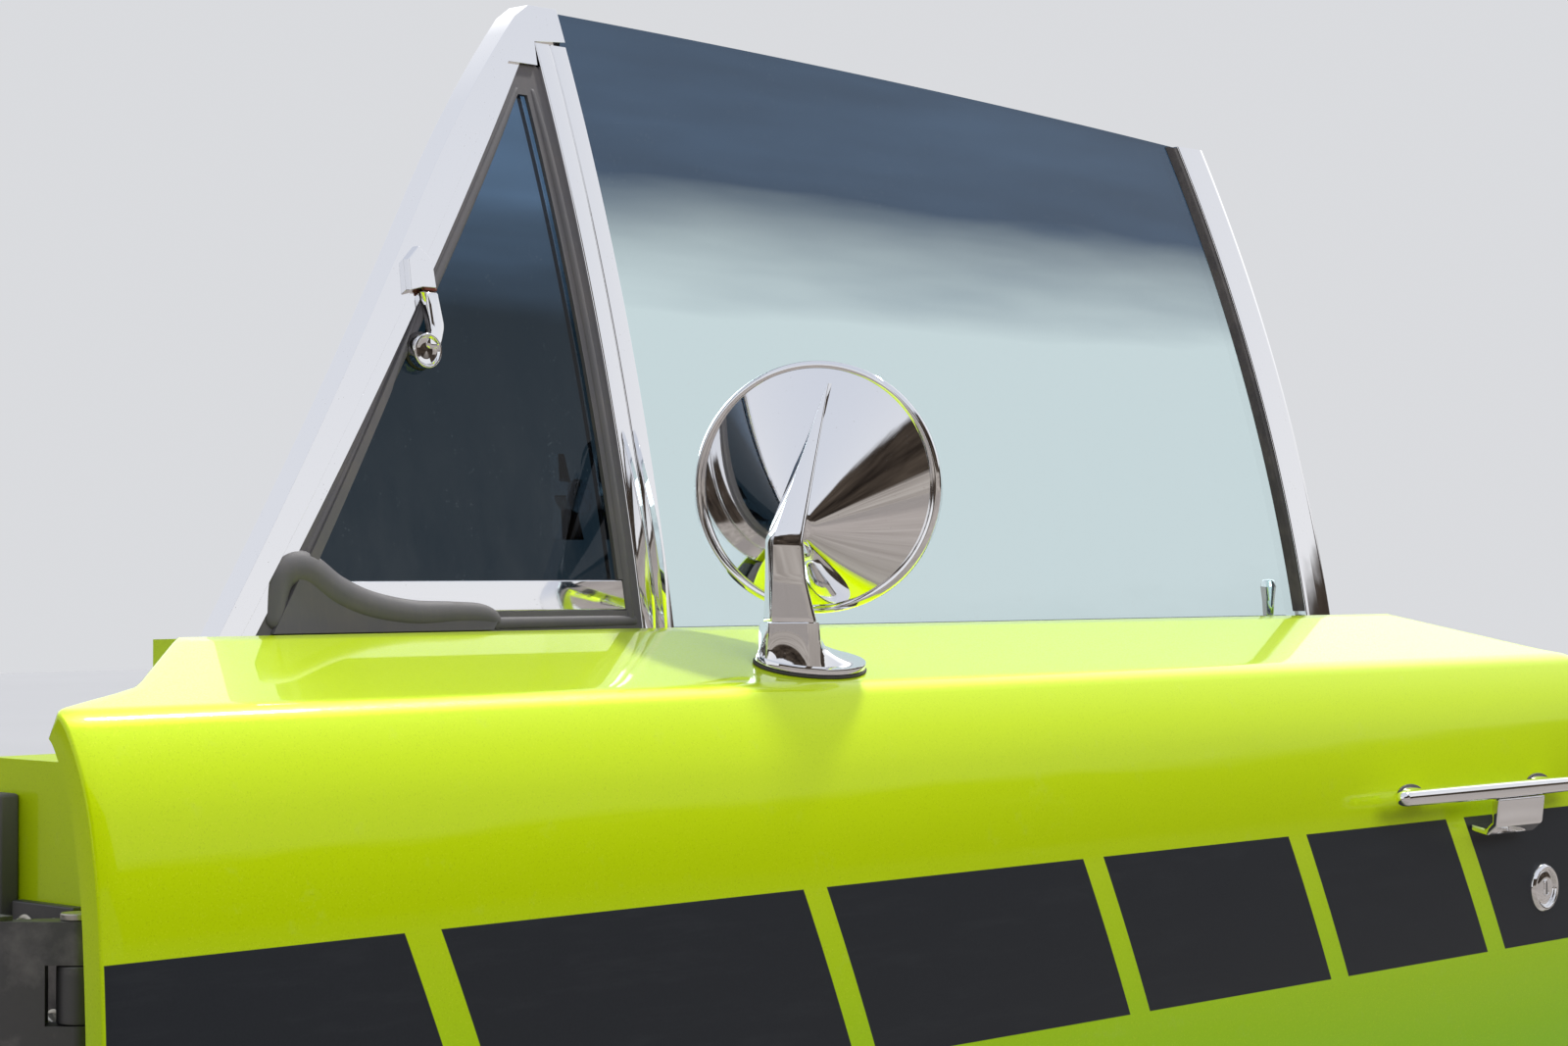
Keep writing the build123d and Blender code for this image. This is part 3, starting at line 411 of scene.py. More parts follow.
def applied(piece):
    graph = bpy.context.evaluated_depsgraph_get()
    mesh = bpy.data.meshes.new_from_object(piece.evaluated_get(graph))
    old = piece.data
    piece.modifiers.clear()
    piece.data = mesh
    mesh.name = piece.name
    bpy.data.meshes.remove(old)


def opened(mesh):
    work = bmesh.new()
    work.from_mesh(mesh)
    return work


def closed(work, mesh):
    work.to_mesh(mesh)
    work.free()


def ringFaces(first, rings, count):
    # quads between rings of equally many points, listed one ring after the other
    faces = []
    for low in range(first, first + (rings - 1) * count, count):
        for i in range(count):
            j = (i + 1) % count
            faces.append((low + i, low + j, low + count + j, low + count + i))
    return faces


def gridFaces(wide, tall, flipped=False):
    # quads of a grid whose points are listed line by line
    quads = [
        (a, a + 1, a + wide + 1, a + wide)
        for v in range(tall - 1) for a in range(v * wide, v * wide + wide - 1)
    ]
    return [(a, d, c, b) for a, b, c, d in quads] if flipped else quads


def gridRim(wide, tall):
    loop = list(range(wide)) + [v * wide + wide - 1 for v in range(1, tall)]
    loop += [(tall - 1) * wide + u for u in range(wide - 2, -1, -1)]
    return loop + [v * wide for v in range(tall - 2, 0, -1)]


def folded(points, faces, loop, rims, radius):
    # the rim turned over: outward and back along each spot's own directions
    for step in range(1, 6):
        turn = radians(22.5 * min(step, 4))
        fresh = []
        for here, normal, out, depth in rims:
            spot = here + out * radius * sin(turn) - normal * radius * (1 - cos(turn))
            if step == 5:
                spot = spot - normal * (depth - radius)
            fresh.append(len(points))
            points.append(spot)
        for i in range(len(loop)):
            j = (i + 1) % len(loop)
            faces.append((loop[i], loop[j], fresh[j], fresh[i]))
        loop = fresh
    return loop


def loft(name, rings, capped=True):
    count = len(rings[0])
    faces = ringFaces(0, len(rings), count)
    if capped:
        faces.append(tuple(reversed(range(count))))
        faces.append(tuple(range((len(rings) - 1) * count, len(rings) * count)))
    piece = build(name, [point for ring in rings for point in ring], faces)
    work = opened(piece.data)
    bmesh.ops.recalc_face_normals(work, faces=work.faces)
    closed(work, piece.data)
    return piece


def shaped(name, rings, finish, replaced=None, sharp=60):
    # a loft through rings given in millimetres
    piece = loft(name, [[fromBelt(*spot) for spot in ring] for ring in rings])
    return settle(piece, finish, replaced, sharp=sharp)


def weld(piece, gap=1e-6):
    work = opened(piece.data)
    bmesh.ops.remove_doubles(work, verts=work.verts, dist=gap)
    bmesh.ops.dissolve_degenerate(work, edges=work.edges, dist=1e-7)
    bmesh.ops.recalc_face_normals(work, faces=work.faces)
    closed(work, piece.data)


def rounded(points, radius, steps=3):
    # corners of a flat outline turned to short arcs; a third value is that corner's own radius
    count = len(points)
    loop = []
    for i in range(count):
        corner = Vector(points[i][:2])
        r = points[i][2] if len(points[i]) > 2 else radius
        back = Vector(points[i - 1][:2]) - corner
        on = Vector(points[(i + 1) % count][:2]) - corner
        half = back.angle(on) / 2
        reach = min(r / tan(half), back.length * 0.45, on.length * 0.45)
        r = reach * tan(half)
        first = corner + back.normalized() * reach
        last = corner + on.normalized() * reach
        centre = corner + (back.normalized() + on.normalized()).normalized() * (r / sin(half))
        a = atan2(first.y - centre.y, first.x - centre.x)
        b = atan2(last.y - centre.y, last.x - centre.x)
        turn = (b - a + pi) % (2 * pi) - pi
        for k in range(steps + 1):
            t = a + turn * k / steps
            loop.append((centre.x + r * cos(t), centre.y + r * sin(t)))
    return loop


def drawnIn(outline, share, heart):
    return [(heart[0] + (x - heart[0]) * share, heart[1] + (z - heart[1]) * share) for x, z in outline]


def fuller(value, power):
    # a sine or cosine drawn out, for sections between oval and square
    return abs(value) ** power * (1 if value > 0 else -1)


def throughKnots(knots, steps):
    # a smooth run through the knots, every value of a knot carried along
    line = [knots[0]] + list(knots) + [knots[-1]]
    run = []
    for a, b, c, d in zip(line, line[1:], line[2:], line[3:]):
        for k in range(steps):
            t = k / steps
            run.append([
                0.5 * (2 * q + (r - p) * t + (2 * p - 5 * q + 4 * r - v) * t * t
                       + (3 * q - p - 3 * r + v) * t ** 3)
                for p, q, r, v in zip(a, b, c, d)
            ])
    run.append(list(knots[-1]))
    return run


def turned(name, outline, centre, out, steps, replaced=None, finish="polished", sharp=40, up=upward):
    # a closed outline of (radius, height) turned about the axis out
    out = out.normalized()
    side = up.cross(out).normalized()
    up = out.cross(side)
    rings = []
    for turn in turns(steps):
        spoke = side * cos(turn) + up * sin(turn)
        rings.append([centre + (spoke * r + out * h) * mm for r, h in outline])
    rings.append(rings[0])
    piece = loft(name, rings, capped=False)
    weld(piece)
    return settle(piece, finish, replaced, sharp=sharp)


dressing = {"weld": 2e-6, "sharp": 30, "flat": 0.4, "steps": 3}


def dressed(nodeName, name, finish, bevel, steps=dressing["steps"], flat=dressing["flat"], body="door"):
    # a CAD node's own shape, welded, with its sharp edges rounded
    work = opened(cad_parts[nodeName].data)
    bmesh.ops.remove_doubles(work, verts=work.verts, dist=dressing["weld"])
    bmesh.ops.dissolve_limit(work, angle_limit=radians(flat), verts=work.verts, edges=work.edges)
    bmesh.ops.recalc_face_normals(work, faces=work.faces)
    edges = [
        edge for edge in work.edges
        if len(edge.link_faces) == 2 and edge.calc_face_angle() > radians(dressing["sharp"])
    ]
    bmesh.ops.bevel(
        work, geom=edges, offset=bevel * mm, segments=steps, profile=0.5, affect="EDGES",
        clamp_overlap=True, loop_slide=True,
    )
    mesh = bpy.data.meshes.new(name)
    closed(work, mesh)
    piece = settle(added(name, mesh), finish, nodeName, body)
    modify(piece, "WEIGHTED_NORMAL", {"keep_sharp": True})
    return piece


# Outer skin: one smooth pressing with folded edges
skin = {
    "slope": 16.2, "run": 90.7, "gap": 7, "bottom": -592, "front": -430.7, "rear": 722,
    "arcs": [(21.6, 39, 16), (105, 20.5, 10), (265, 10, 6), (1200, 12, 14), (1900, 5, 8), (180, 24, 14)],
    "frontCorner": 42, "rearCorner": 66, "edge": 1.6, "fold": 12, "hem": 14, "sheet": 1.5,
    "frontCut": [(-300.5, 0), (-376, -73.3), (-430.7, -96.3)],
    "rearCut": [(640, 0), (704, -86), (722, -100)],
    "columns": 140, "runSteps": 12, "crowd": 0.35, "cornerSteps": 4,
}


def skinStations():
    heading = radians(180 + skin["slope"])
    start = Vector((-skin["gap"], 0))
    along = Vector((cos(heading), sin(heading)))
    stations = []
    for k in range(skin["runSteps"] + 1):
        reach = skin["edge"] + (skin["run"] - skin["edge"]) * k / skin["runSteps"]
        stations.append((start + along * reach, heading))
    for radius, turn, steps in skin["arcs"]:
        point, first = stations[-1]
        centre = point + Vector((-sin(first), cos(first))) * radius
        for k in range(1, steps + 1):
            now = first + radians(turn) * k / steps
            stations.append((centre + Vector((sin(now), -cos(now))) * radius, now))
    low = skin["bottom"] + skin["edge"]
    kept = [station for station in stations if station[0].y > low]
    last, beyond = kept[-1], stations[len(kept)]
    part = (last[0].y - low) / (last[0].y - beyond[0].y)
    kept.append((last[0].lerp(beyond[0], part), last[1] + (beyond[1] - last[1]) * part))
    # the lower corners need closer stations
    dense = []
    for first, second in zip(kept, kept[1:]):
        dense.append(first)
        steps = skin["cornerSteps"] if second[0].y < skin["bottom"] + skin["rearCorner"] else 1
        for k in range(1, steps):
            t = k / steps
            dense.append((first[0].lerp(second[0], t), first[1] + (second[1] - first[1]) * t))
    dense.append(kept[-1])
    return dense


def cutAt(line, y):
    for (x0, y0), (x1, y1) in zip(line, line[1:]):
        if y1 <= y <= y0:
            return x0 + (x1 - x0) * (y - y0) / (y1 - y0)
    return line[-1][0] if y < line[-1][1] else line[0][0]


def sideLimits(point):
    y, z = point
    limits = []
    for line, corner, end, inward in (
        (skin["frontCut"], skin["frontCorner"], skin["front"], 1),
        (skin["rearCut"], skin["rearCorner"], skin["rear"], -1),
    ):
        x = sum(cutAt(line, y + shift) for shift in (-3, 0, 3)) / 3
        deep = skin["bottom"] + corner - z
        if deep > 0:
            deep = min(deep, corner - skin["edge"] * 0.2)
            x = end + inward * (corner - sqrt(corner**2 - deep**2))
        limits.append(x + inward * skin["edge"])
    return limits


def paintedSkin():
    stations = skinStations()
    columns = skin["columns"]
    points, normals = [], []
    for point, heading in stations:
        left, right = sideLimits(point)
        for k in range(columns + 1):
            t = k / columns
            t = t + skin["crowd"] * (t - 0.5) * (t * t - t)
            points.append(Vector((left + (right - left) * t, point.x, point.y)))
            normals.append(Vector((0, sin(heading), -cos(heading))))
    faces = gridFaces(columns + 1, len(stations), flipped=True)
    loop = gridRim(columns + 1, len(stations))
    rims = []
    for i, at in enumerate(loop):
        tangent = (points[loop[(i + 1) % len(loop)]] - points[loop[i - 1]]).normalized()
        normal = normals[at]
        out = normal.cross(tangent).normalized()
        depth = skin["fold"]
        if i <= columns:  # the upper edge turns down level with the glass
            share = min(1.0, min(i, columns - i) / 2 + 0.5)
            normal = normal.lerp(upward, share).normalized()
            out = out.lerp(cabinward, share).normalized()
            depth = skin["hem"]
        rims.append((points[at], normal, out, depth))
    folded(points, faces, loop, rims, skin["edge"])
    piece = build("painted_skin", [fromBelt(*point) for point in points], faces)
    modify(piece, "SOLIDIFY", {"thickness": skin["sheet"] * mm, "offset": -1, "use_rim": True})
    applied(piece)
    settle(piece, "striped", "outer_skin", sharp=55)


paintedSkin()
dressed("inner_panel", "inner_pressing", "lime_paint", 0.9, steps=2, flat=1.2)
dressed("door_seal", "door_weather_seal", "soft_rubber", 3.6, steps=4)
print("shell made")

# The side glass lies on a cylinder along X, and so do the frame's faces
glass = {"radius": 1620, "lean": 9.5, "depth": 4.2, "thick": 4.8}


def onGlass(x, z, depth):
    lean = radians(glass["lean"])
    r = glass["radius"] - depth
    rise = z + glass["radius"] * sin(lean)
    return fromBelt(x, glass["radius"] * cos(lean) - sqrt(r * r - rise * rise), z)


def parabola(a, b, c):
    # through three points, as a function of the first value
    def at(t):
        (t0, v0), (t1, v1), (t2, v2) = a, b, c
        return (
            v0 * (t - t1) * (t - t2) / ((t0 - t1) * (t0 - t2))
            + v1 * (t - t0) * (t - t2) / ((t1 - t0) * (t1 - t2))
            + v2 * (t - t0) * (t - t1) / ((t2 - t0) * (t2 - t1))
        )

    return at


def uprightBand(name, section, foot, head, steps, finish, replaced):
    # a section of (x, depth) points carried up the glass
    rings = [[onGlass(x, z, depth) for x, depth in section(z)] for z in span(foot, head, steps)]
    settle(loft(name, rings), finish, replaced)


dropGlass = {
    "front": 2.8, "capFront": 8.3, "capZ": 303.8, "foot": -40, "middle": 300, "columns": 60, "rows": 30,
    "rear": parabola((2, 572), (150, 564), (297, 546.5)),
    "top": parabola((8, 327), (275, 318.5), (546.5, 303)),
}


def dropGlassAt(u, v):
    z = dropGlass["foot"] + v * (dropGlass["top"](dropGlass["middle"]) - dropGlass["foot"])
    for _ in range(3):
        front = dropGlass["front"] if z < dropGlass["capZ"] else dropGlass["capFront"]
        x = front + u * (dropGlass["rear"](z) - front)
        z = dropGlass["foot"] + v * (dropGlass["top"](x) - dropGlass["foot"])
    return x, z


def dropGlassPane():
    wide, tall = dropGlass["columns"] + 1, dropGlass["rows"] + 1
    sheet = [dropGlassAt(u / (wide - 1), v / (tall - 1)) for v in range(tall) for u in range(wide)]
    points = [onGlass(x, z, glass["depth"]) for x, z in sheet]
    points += [onGlass(x, z, glass["depth"] + glass["thick"]) for x, z in sheet]
    inner = len(sheet)
    quads = gridFaces(wide, tall)
    faces = quads + [tuple(inner + i for i in reversed(quad)) for quad in quads]
    rim = gridRim(wide, tall)
    for i, j in zip(rim, rim[1:] + rim[:1]):
        faces.append((j, i, inner + i, inner + j))
    settle(build("drop_glass", points, faces), "tinted_glass", "door_glass", sharp=50)


dropGlassPane()
dressed("vent_pane", "vent_glass_pane", "vent_glass", 0.5, steps=2, flat=0.1)

# Chrome round the glass
dressed("vent_frame", "vent_frame_chrome", "polished", 0.7, flat=0.25)
dressed("vent_channel", "vent_channel_chrome", "polished", 0.8, flat=0.25)
dressed("vent_bracket", "vent_pivot_bracket", "polished", 0.6, flat=0.25)
dressed("vent_latch", "vent_latch_lever", "polished", 1.2)
dressed("vent_rubber", "vent_weather_rubber", "soft_rubber", 0.6, steps=2)
dressed("vent_washer", "vent_pivot_washer", "brown_washer", 0.3)

# Soft rolls of the vent's rubber: x, z, half width and depth of the middle at each knot
rolls = {
    "vent_corner_roll": [
        (-247, 6, 5.5, 3), (-240, 26, 7.5, 3.4), (-226, 30, 8.5, 3.2), (-209, 19.5, 8, 2.6),
        (-190, 12.5, 7.2, 2.2), (-165, 8.6, 6.4, 2.0), (-140, 8.4, 5.6, 2.0), (-122, 7.6, 5.2, 2.0),
        (-114, 4.6, 4.4, 2.2), (-112, 0.5, 2.4, 3.0),
    ],
    "vent_rear_bead": [
        (-22.2, 4, 2.4, 2.6), (-22.4, 60, 2.6, 2.4), (-22.8, 150, 2.6, 2.4), (-23.6, 240, 2.4, 2.4),
        (-25.0, 280, 1.8, 2.6),
    ],
    "vent_front_bead": [
        (-224, 36, 2.2, 2.6), (-180, 94, 2.4, 2.4), (-110, 184.5, 2.4, 2.4), (-60, 249, 2.2, 2.4),
        (-36, 280, 1.6, 2.8),
    ],
    "vent_foot_bead": [
        (-232, 3.4, 2.6, 2.6), (-160, 3.2, 2.9, 2.2), (-90, 3.2, 2.9, 2.2), (-20, 3.4, 2.6, 2.6),
    ],
}
rollShape = {"deep": 0.62, "around": 20, "steps": 10, "nose": 0.8, "noseTurns": (35, 62, 82)}


def softRoll(name, knots):
    run = throughKnots(knots, rollShape["steps"])
    around = rollShape["around"]
    rings = []
    for i, (x, z, half, depth) in enumerate(run):
        back, on = run[max(i - 1, 0)], run[min(i + 1, len(run) - 1)]
        along = Vector((on[0] - back[0], on[1] - back[1])).normalized()
        ring = []
        for turn in turns(around):
            across = half * cos(turn)
            sink = depth + half * rollShape["deep"] * sin(turn)
            ring.append(onGlass(x - along.y * across, z + along.x * across, sink))
        rings.append(ring)
    for end, inner in ((0, 1), (-1, -2)):
        heart = sum(rings[end], Vector()) / around
        push = (heart - sum(rings[inner], Vector()) / around).normalized()
        bulge = run[end][2] * mm * rollShape["nose"]
        nose = [
            [heart + (spot - heart) * cos(t) + push * bulge * sin(t) for spot in rings[end]]
            for t in map(radians, rollShape["noseTurns"])
        ]
        rings = nose[::-1] + rings if end == 0 else rings + nose
    settle(loft(name, rings), "soft_rubber", sharp=0)


for name, knots in rolls.items():
    softRoll(name, knots)

# Vent pivot: a tapered arm runs down into a dished boss on its pad
pivot = {
    "x": -128.4, "z": 166.4, "wide": 7.5, "bossX": -137.3, "bossZ": 136.3, "boss": 8.8,
    "under": 0.6, "shoulder": -2.1, "crown": 1.95, "draw": 0.16,
    "bossOutline": rounded([
        (0.01, -1.0, 0.0), (0.01, 2.4, 0.0), (4.0, 2.2, 3), (6.6, 2.6, 0.8), (7.4, 4.2, 0.6), (8.6, 4.1, 0.7),
        (8.8, 2.6, 0.6), (8.8, -1.0, 0.3),
    ], 0.3, 4),
    "padOutline": rounded([
        (0.01, -4.1, 0.0), (0.01, -1.0, 0.0), (8.6, -1.0, 0.7), (9.6, -2.2, 0.9), (9.3, -4.1, 0.3),
    ], 0.4, 4),
}


def pivotArm():
    x, z, half = pivot["x"], pivot["z"], pivot["wide"] / 2
    low = pivot["bossZ"] + 1
    outline = rounded(
        [(x - half, z, 0.8), (x + half, z, 0.8), (x + half + 0.6, z - 18, 12),
         (pivot["bossX"] + pivot["boss"] - 0.4, low, 4), (pivot["bossX"] - 3, low, 3),
         (x - half - 0.8, z - 20, 9)],
        2, 5,
    )
    heart = (x - 1, z - 14)
    levels = [(1, pivot["under"]), (1, pivot["shoulder"])]
    for t in map(radians, (30, 60, 90)):
        levels.append((1 - pivot["draw"] * (1 - cos(t)), pivot["shoulder"] - pivot["crown"] * sin(t)))
    levels.append((0.5, levels[-1][1] - 0.25))
    rings = [[onGlass(*spot, depth) for spot in drawnIn(outline, share, heart)] for share, depth in levels]
    settle(loft("vent_pivot_arm", rings), "polished", "vent_arm", sharp=40)


pivotArm()
bossMiddle, bossFront, bossBack = (onGlass(pivot["bossX"], pivot["bossZ"], depth) for depth in (0, -5, 5))
bossOut = bossFront - bossBack
turned("vent_pivot_boss", pivot["bossOutline"], bossMiddle, bossOut, 64)
turned("vent_pivot_pad", pivot["padOutline"], bossMiddle, bossOut, 64, "vent_pad", "black_rubber", sharp=50)

# Bars up the glass: sections of x and depth
divider = {
    "foot": -110, "head": 307.4, "steps": 60,
    "section": rounded([
        (-16.5, 16), (-16.5, 0), (-5.9, 0), (-5.7, 1.5, 0.2), (-4.9, 1.5, 0.2), (-4.7, 0.6),
        (6.5, 0.7), (6.5, 4.0), (2.6, 4.0, 0.2), (2.6, 16),
    ], 0.7),
}
strip = {
    "rear": parabola((2, 595), (150, 587), (297, 569.5)), "wide": 27, "foot": -20, "head": 303.6, "steps": 50,
    "level": 2,
}


def stripRear(z):
    return strip["rear"](max(z, strip["level"]))


def stripSection(z):
    x = stripRear(z)
    front = x - strip["wide"]
    return rounded(
        [(front, 12, 0.3), (front, 1.0, 0.8), (front + 4, 0.55, 4), (front + 13.5, 0.5, 30),
         (x - 4, 0.6, 4), (x, 1.4, 1.0), (x, 12, 0.5)],
        0.6, 4,
    )


def stripSealSection(z):
    x = stripRear(z) - strip["wide"]
    return rounded([(x - 0.1, 4.1), (x - 0.1, 1.6), (x - 4, 1.7), (x - 10, 3.6), (x - 10, 4.15)], 0.4)


steps = strip["steps"]
uprightBand("division_bar_chrome", lambda z: divider["section"], divider["foot"], divider["head"],
            divider["steps"], "polished", "division_bar")
uprightBand("rear_strip_chrome", stripSection, strip["foot"], strip["head"], steps, "polished", "glass_strip")
uprightBand("rear_strip_seal", stripSealSection, strip["level"], strip["head"] - 1, steps,
            "black_rubber", "glass_seal")
dressed("belt_rubber_outer", "belt_wiper_outer", "black_rubber", 1.0)
dressed("belt_rubber_inner", "belt_wiper_inner", "black_rubber", 1.2)
print("windows made")

# Door mirror: the back is a blunt cone, run out to the round wall of the head
mirror = {
    "middle": Vector((48, -60, 71.5)), "aim": 31.5, "rim": 60.7, "coneZ": 43, "coneDrop": 22.6,
    "slope": 37.85, "tilt": 10.55, "flat": 5, "crown": 4.4, "around": 192, "rings": 34,
    "nose": ((0.02, 0.81), (0.35, 0.72), (0.7, 0.45), (0.9, 0.18)),
    "groove": ((0.994, -1.5), (0.994, -7.0), (0.02, -7.0)),
    "ring": rounded([
        (60.75, -1.2, 0.1), (60.8, -0.15, 0.1), (62.6, 0.35, 1.6), (64.6, -1.6, 1.8), (64.6, -8.6, 1.4),
        (63.2, -10, 0.6), (58.7, -10, 0.5), (58.7, -7, 0.2), (60.75, -7, 0.1),
    ], 0.3, 6),
    "glass": [(0.01, -9.5), (20, -9.45), (40, -9.3), (56.5, -9.05), (58.5, -8.8), (58.6, -7.1), (0.01, -7.1)],
}
aim = radians(mirror["aim"])
headOut = Vector((-cos(aim), -sin(aim), 0))
headAcross = Vector((sin(aim), -cos(aim), 0))


def onHead(x, y, z):
    return mirror["middle"] + headAcross * x + upward * y + headOut * z


def mirrorBack():
    tilt = radians(mirror["tilt"])
    axis = Vector((0, -sin(tilt), cos(tilt)))
    apex = Vector((0, -mirror["coneDrop"], mirror["coneZ"]))
    up = axis.cross(rearward)
    pitch = tan(radians(mirror["slope"]))
    ends = []
    for turn in turns(mirror["around"]):
        spoke = (rearward * cos(turn) + up * sin(turn)) - axis * pitch
        # where the cone's line meets the round wall of the head
        a = spoke.x**2 + spoke.y**2
        b = 2 * (apex.x * spoke.x + apex.y * spoke.y)
        c = apex.x**2 + apex.y**2 - mirror["rim"] ** 2
        ends.append((spoke, (-b + sqrt(b * b - 4 * a * c)) / (2 * a)))
    tip = mirror["flat"] / pitch
    rings = []
    for t in span(0, 1, mirror["rings"]):
        bulge = axis * mirror["crown"] * t * (1 - t)
        rings.append([apex + spoke * (tip + (reach - tip) * t) + bulge for spoke, reach in ends])
    blunt = apex - axis * mirror["flat"]
    nose = [[blunt + (s - blunt) * share + axis * rise for s in rings[0]] for share, rise in mirror["nose"]]
    rings = nose + rings
    # turned over at the rim, down into the groove beside the ring
    edge = rings[-1]
    rings.append([Vector((s.x * 0.9985, s.y * 0.9985, s.z - 0.35)) for s in edge])
    for share, z in mirror["groove"]:
        rings.append([Vector((s.x * share, s.y * share, z)) for s in edge])
    shaped("mirror_back", [[onHead(*s) for s in ring] for ring in rings], "polished", "mirror_head", sharp=40)


mirrorBack()
headMiddle = fromBelt(*mirror["middle"])
turned("mirror_rim_ring", mirror["ring"], headMiddle, headOut, 192, "mirror_bezel")
turned("mirror_silvered_glass", mirror["glass"], headMiddle, headOut, 128,
       "mirror_glass", "mirror_silver", sharp=30)

# The mirror's arm: level sections by ridge, outer step and half, inner step and half, rear and centre;
# seam, neck and knee give their height first
stem = {
    "around": 144, "heart": Vector((8, -78)), "corner": 5.5, "ridge": 0.35, "low": -34,
    "foot": (-6, 22, 17.5, 8, 15, 40, -76), "base": (-4.5, 20, 16.1, 7, 14, 29, -78), "baseZ": 2.6,
    "seam": (3, -3, 18, 15, 6.5, 12, 26, -78), "neck": (24, -3, 13.5, 11, 5, 10.5, 18.5, -79),
    "knee": (44, -3, 13, 8.8, 4.2, 9.6, 19, -79), "flare": 3.2, "steps": 22, "lip": 0.6,
    "tip": (8, 52.5, 6), "tipSize": (0.6, 0.4, 0.3, 0.5, 6), "neckSteps": 8, "kneeSteps": 6, "tipSteps": 16,
}


def stemLoop(ridge, outStep, outHalf, inStep, inHalf, rear, centre):
    # a sharp ridge ahead, a broad flank outboard, a narrow one inboard
    corner = stem["corner"]
    return rounded(
        [(ridge, centre, stem["ridge"]), (ridge + outStep, centre - outHalf, corner),
         (ridge + rear - 2, centre - outHalf * 0.5, 3), (ridge + rear, centre, 3),
         (ridge + rear - 4, centre + inHalf * 0.85, 3), (ridge + inStep, centre + inHalf, 1.2)],
        corner, 5,
    )


def stemRing(height, *sizes):
    return [Vector((x, y, height)) for x, y in stemLoop(*sizes)]


def reachAt(loop, angle):
    # how far a ray from the stem's heart runs to the outline
    ray = Vector((cos(angle), sin(angle)))
    best = 0.0
    for i in range(len(loop)):
        a, b = Vector(loop[i - 1]) - stem["heart"], Vector(loop[i]) - stem["heart"]
        along = b - a
        cross = ray.x * along.y - ray.y * along.x
        if abs(cross) < 1e-9:
            continue
        reach = (a.x * along.y - a.y * along.x) / cross
        share = (a.x * ray.y - a.y * ray.x) / cross
        if -1e-6 <= share <= 1 + 1e-6 and reach > best:
            best = reach
    return best


def between(first, second, steps):
    return [[a.lerp(b, k / steps) for a, b in zip(first, second)] for k in range(1, steps + 1)]


def armBlade():
    seam, neck, knee = (stemRing(*stem[part]) for part in ("seam", "neck", "knee"))
    tipSpot = onHead(*stem["tip"])
    tip = stemRing(tipSpot.z, tipSpot.x - 1, *stem["tipSize"], tipSpot.y)
    rings = [[spot.lerp(Vector((*stem["heart"], spot.z)), 0.03) for spot in seam]]
    rings += [[spot + upward * stem["lip"] for spot in seam]]
    rings += between(rings[-1], neck, stem["neckSteps"]) + between(neck, knee, stem["kneeSteps"])
    rings += between(knee, tip, stem["tipSteps"])
    shaped("mirror_arm_blade", rings, "polished", "mirror_arm", sharp=30)


armBlade()

# Pedestal and gasket, standing on the sloping shoulder: each level is its growth and its height
foot = {
    "x": 28, "y": -75, "long": 35, "wide": 20, "around": 144, "waist": -1.6, "top": 5.3,
    "levels": ((-0.6, 1.6), (0, 2.2), (0, 4.2), (-0.5, 5.0)),
    "gasket": ((0.5, 0.02), (0.8, 0.4), (0.8, 1.2), (0.5, 1.6)),
}
slope = radians(skin["slope"])


def shoulderZ(y, height):
    return (y + skin["gap"]) * tan(slope) + height / cos(slope)


def oval(grow, height):
    across, out = Vector((0, cos(slope), sin(slope))), Vector((0, -sin(slope), cos(slope)))
    start = Vector((foot["x"], foot["y"], (foot["y"] + skin["gap"]) * tan(slope)))
    long, wide = foot["long"] + grow, foot["wide"] + grow
    return [
        start + rearward * (long * cos(turn)) + across * (wide * sin(turn)) + out * height
        for turn in turns(foot["around"])
    ]


def pedestal():
    # one casting: the oval foot draws in to the stem on a hollow curve
    heart = stem["heart"]
    angles = turns(stem["around"])

    def reaches(ring):
        edge = [(spot.x, spot.y) for spot in ring]
        return [reachAt(edge, angle) for angle in angles]

    rings = []
    for grow, height in foot["levels"]:
        ring = []
        for angle, reach in zip(angles, reaches(oval(grow, height))):
            y = heart.y + reach * sin(angle)
            ring.append(Vector((heart.x + reach * cos(angle), y, shoulderZ(y, height))))
        rings.append(ring)
    waist = reaches(oval(foot["waist"], 0))
    top = stem["baseZ"]
    for t in span(0, 1, stem["steps"]):
        ring = []
        for angle, reach in zip(angles, waist):
            ground = shoulderZ(heart.y + reach * sin(angle), foot["top"])
            z = ground + (top - ground) * t
            share = (z - stem["low"]) / (top - stem["low"])
            sizes = [a + (b - a) * share for a, b in zip(stem["foot"], stem["base"])]
            wall = reachAt(stemLoop(*sizes), angle)
            if reach > wall:
                reach = wall + (reach - wall) * (1 - t) ** stem["flare"]
            ring.append(Vector((heart.x + reach * cos(angle), heart.y + reach * sin(angle), z)))
        rings.append(ring)
    rings.append([spot.lerp(Vector((*heart, top)), 0.04) + upward * 0.35 for spot in rings[-1]])
    shaped("mirror_pedestal", rings, "polished", "mirror_base", sharp=34)


pedestal()
rings = [oval(*level) for level in foot["gasket"]]
shaped("mirror_foot_gasket", rings, "black_rubber", "mirror_gasket", sharp=38)
print("mirror made")

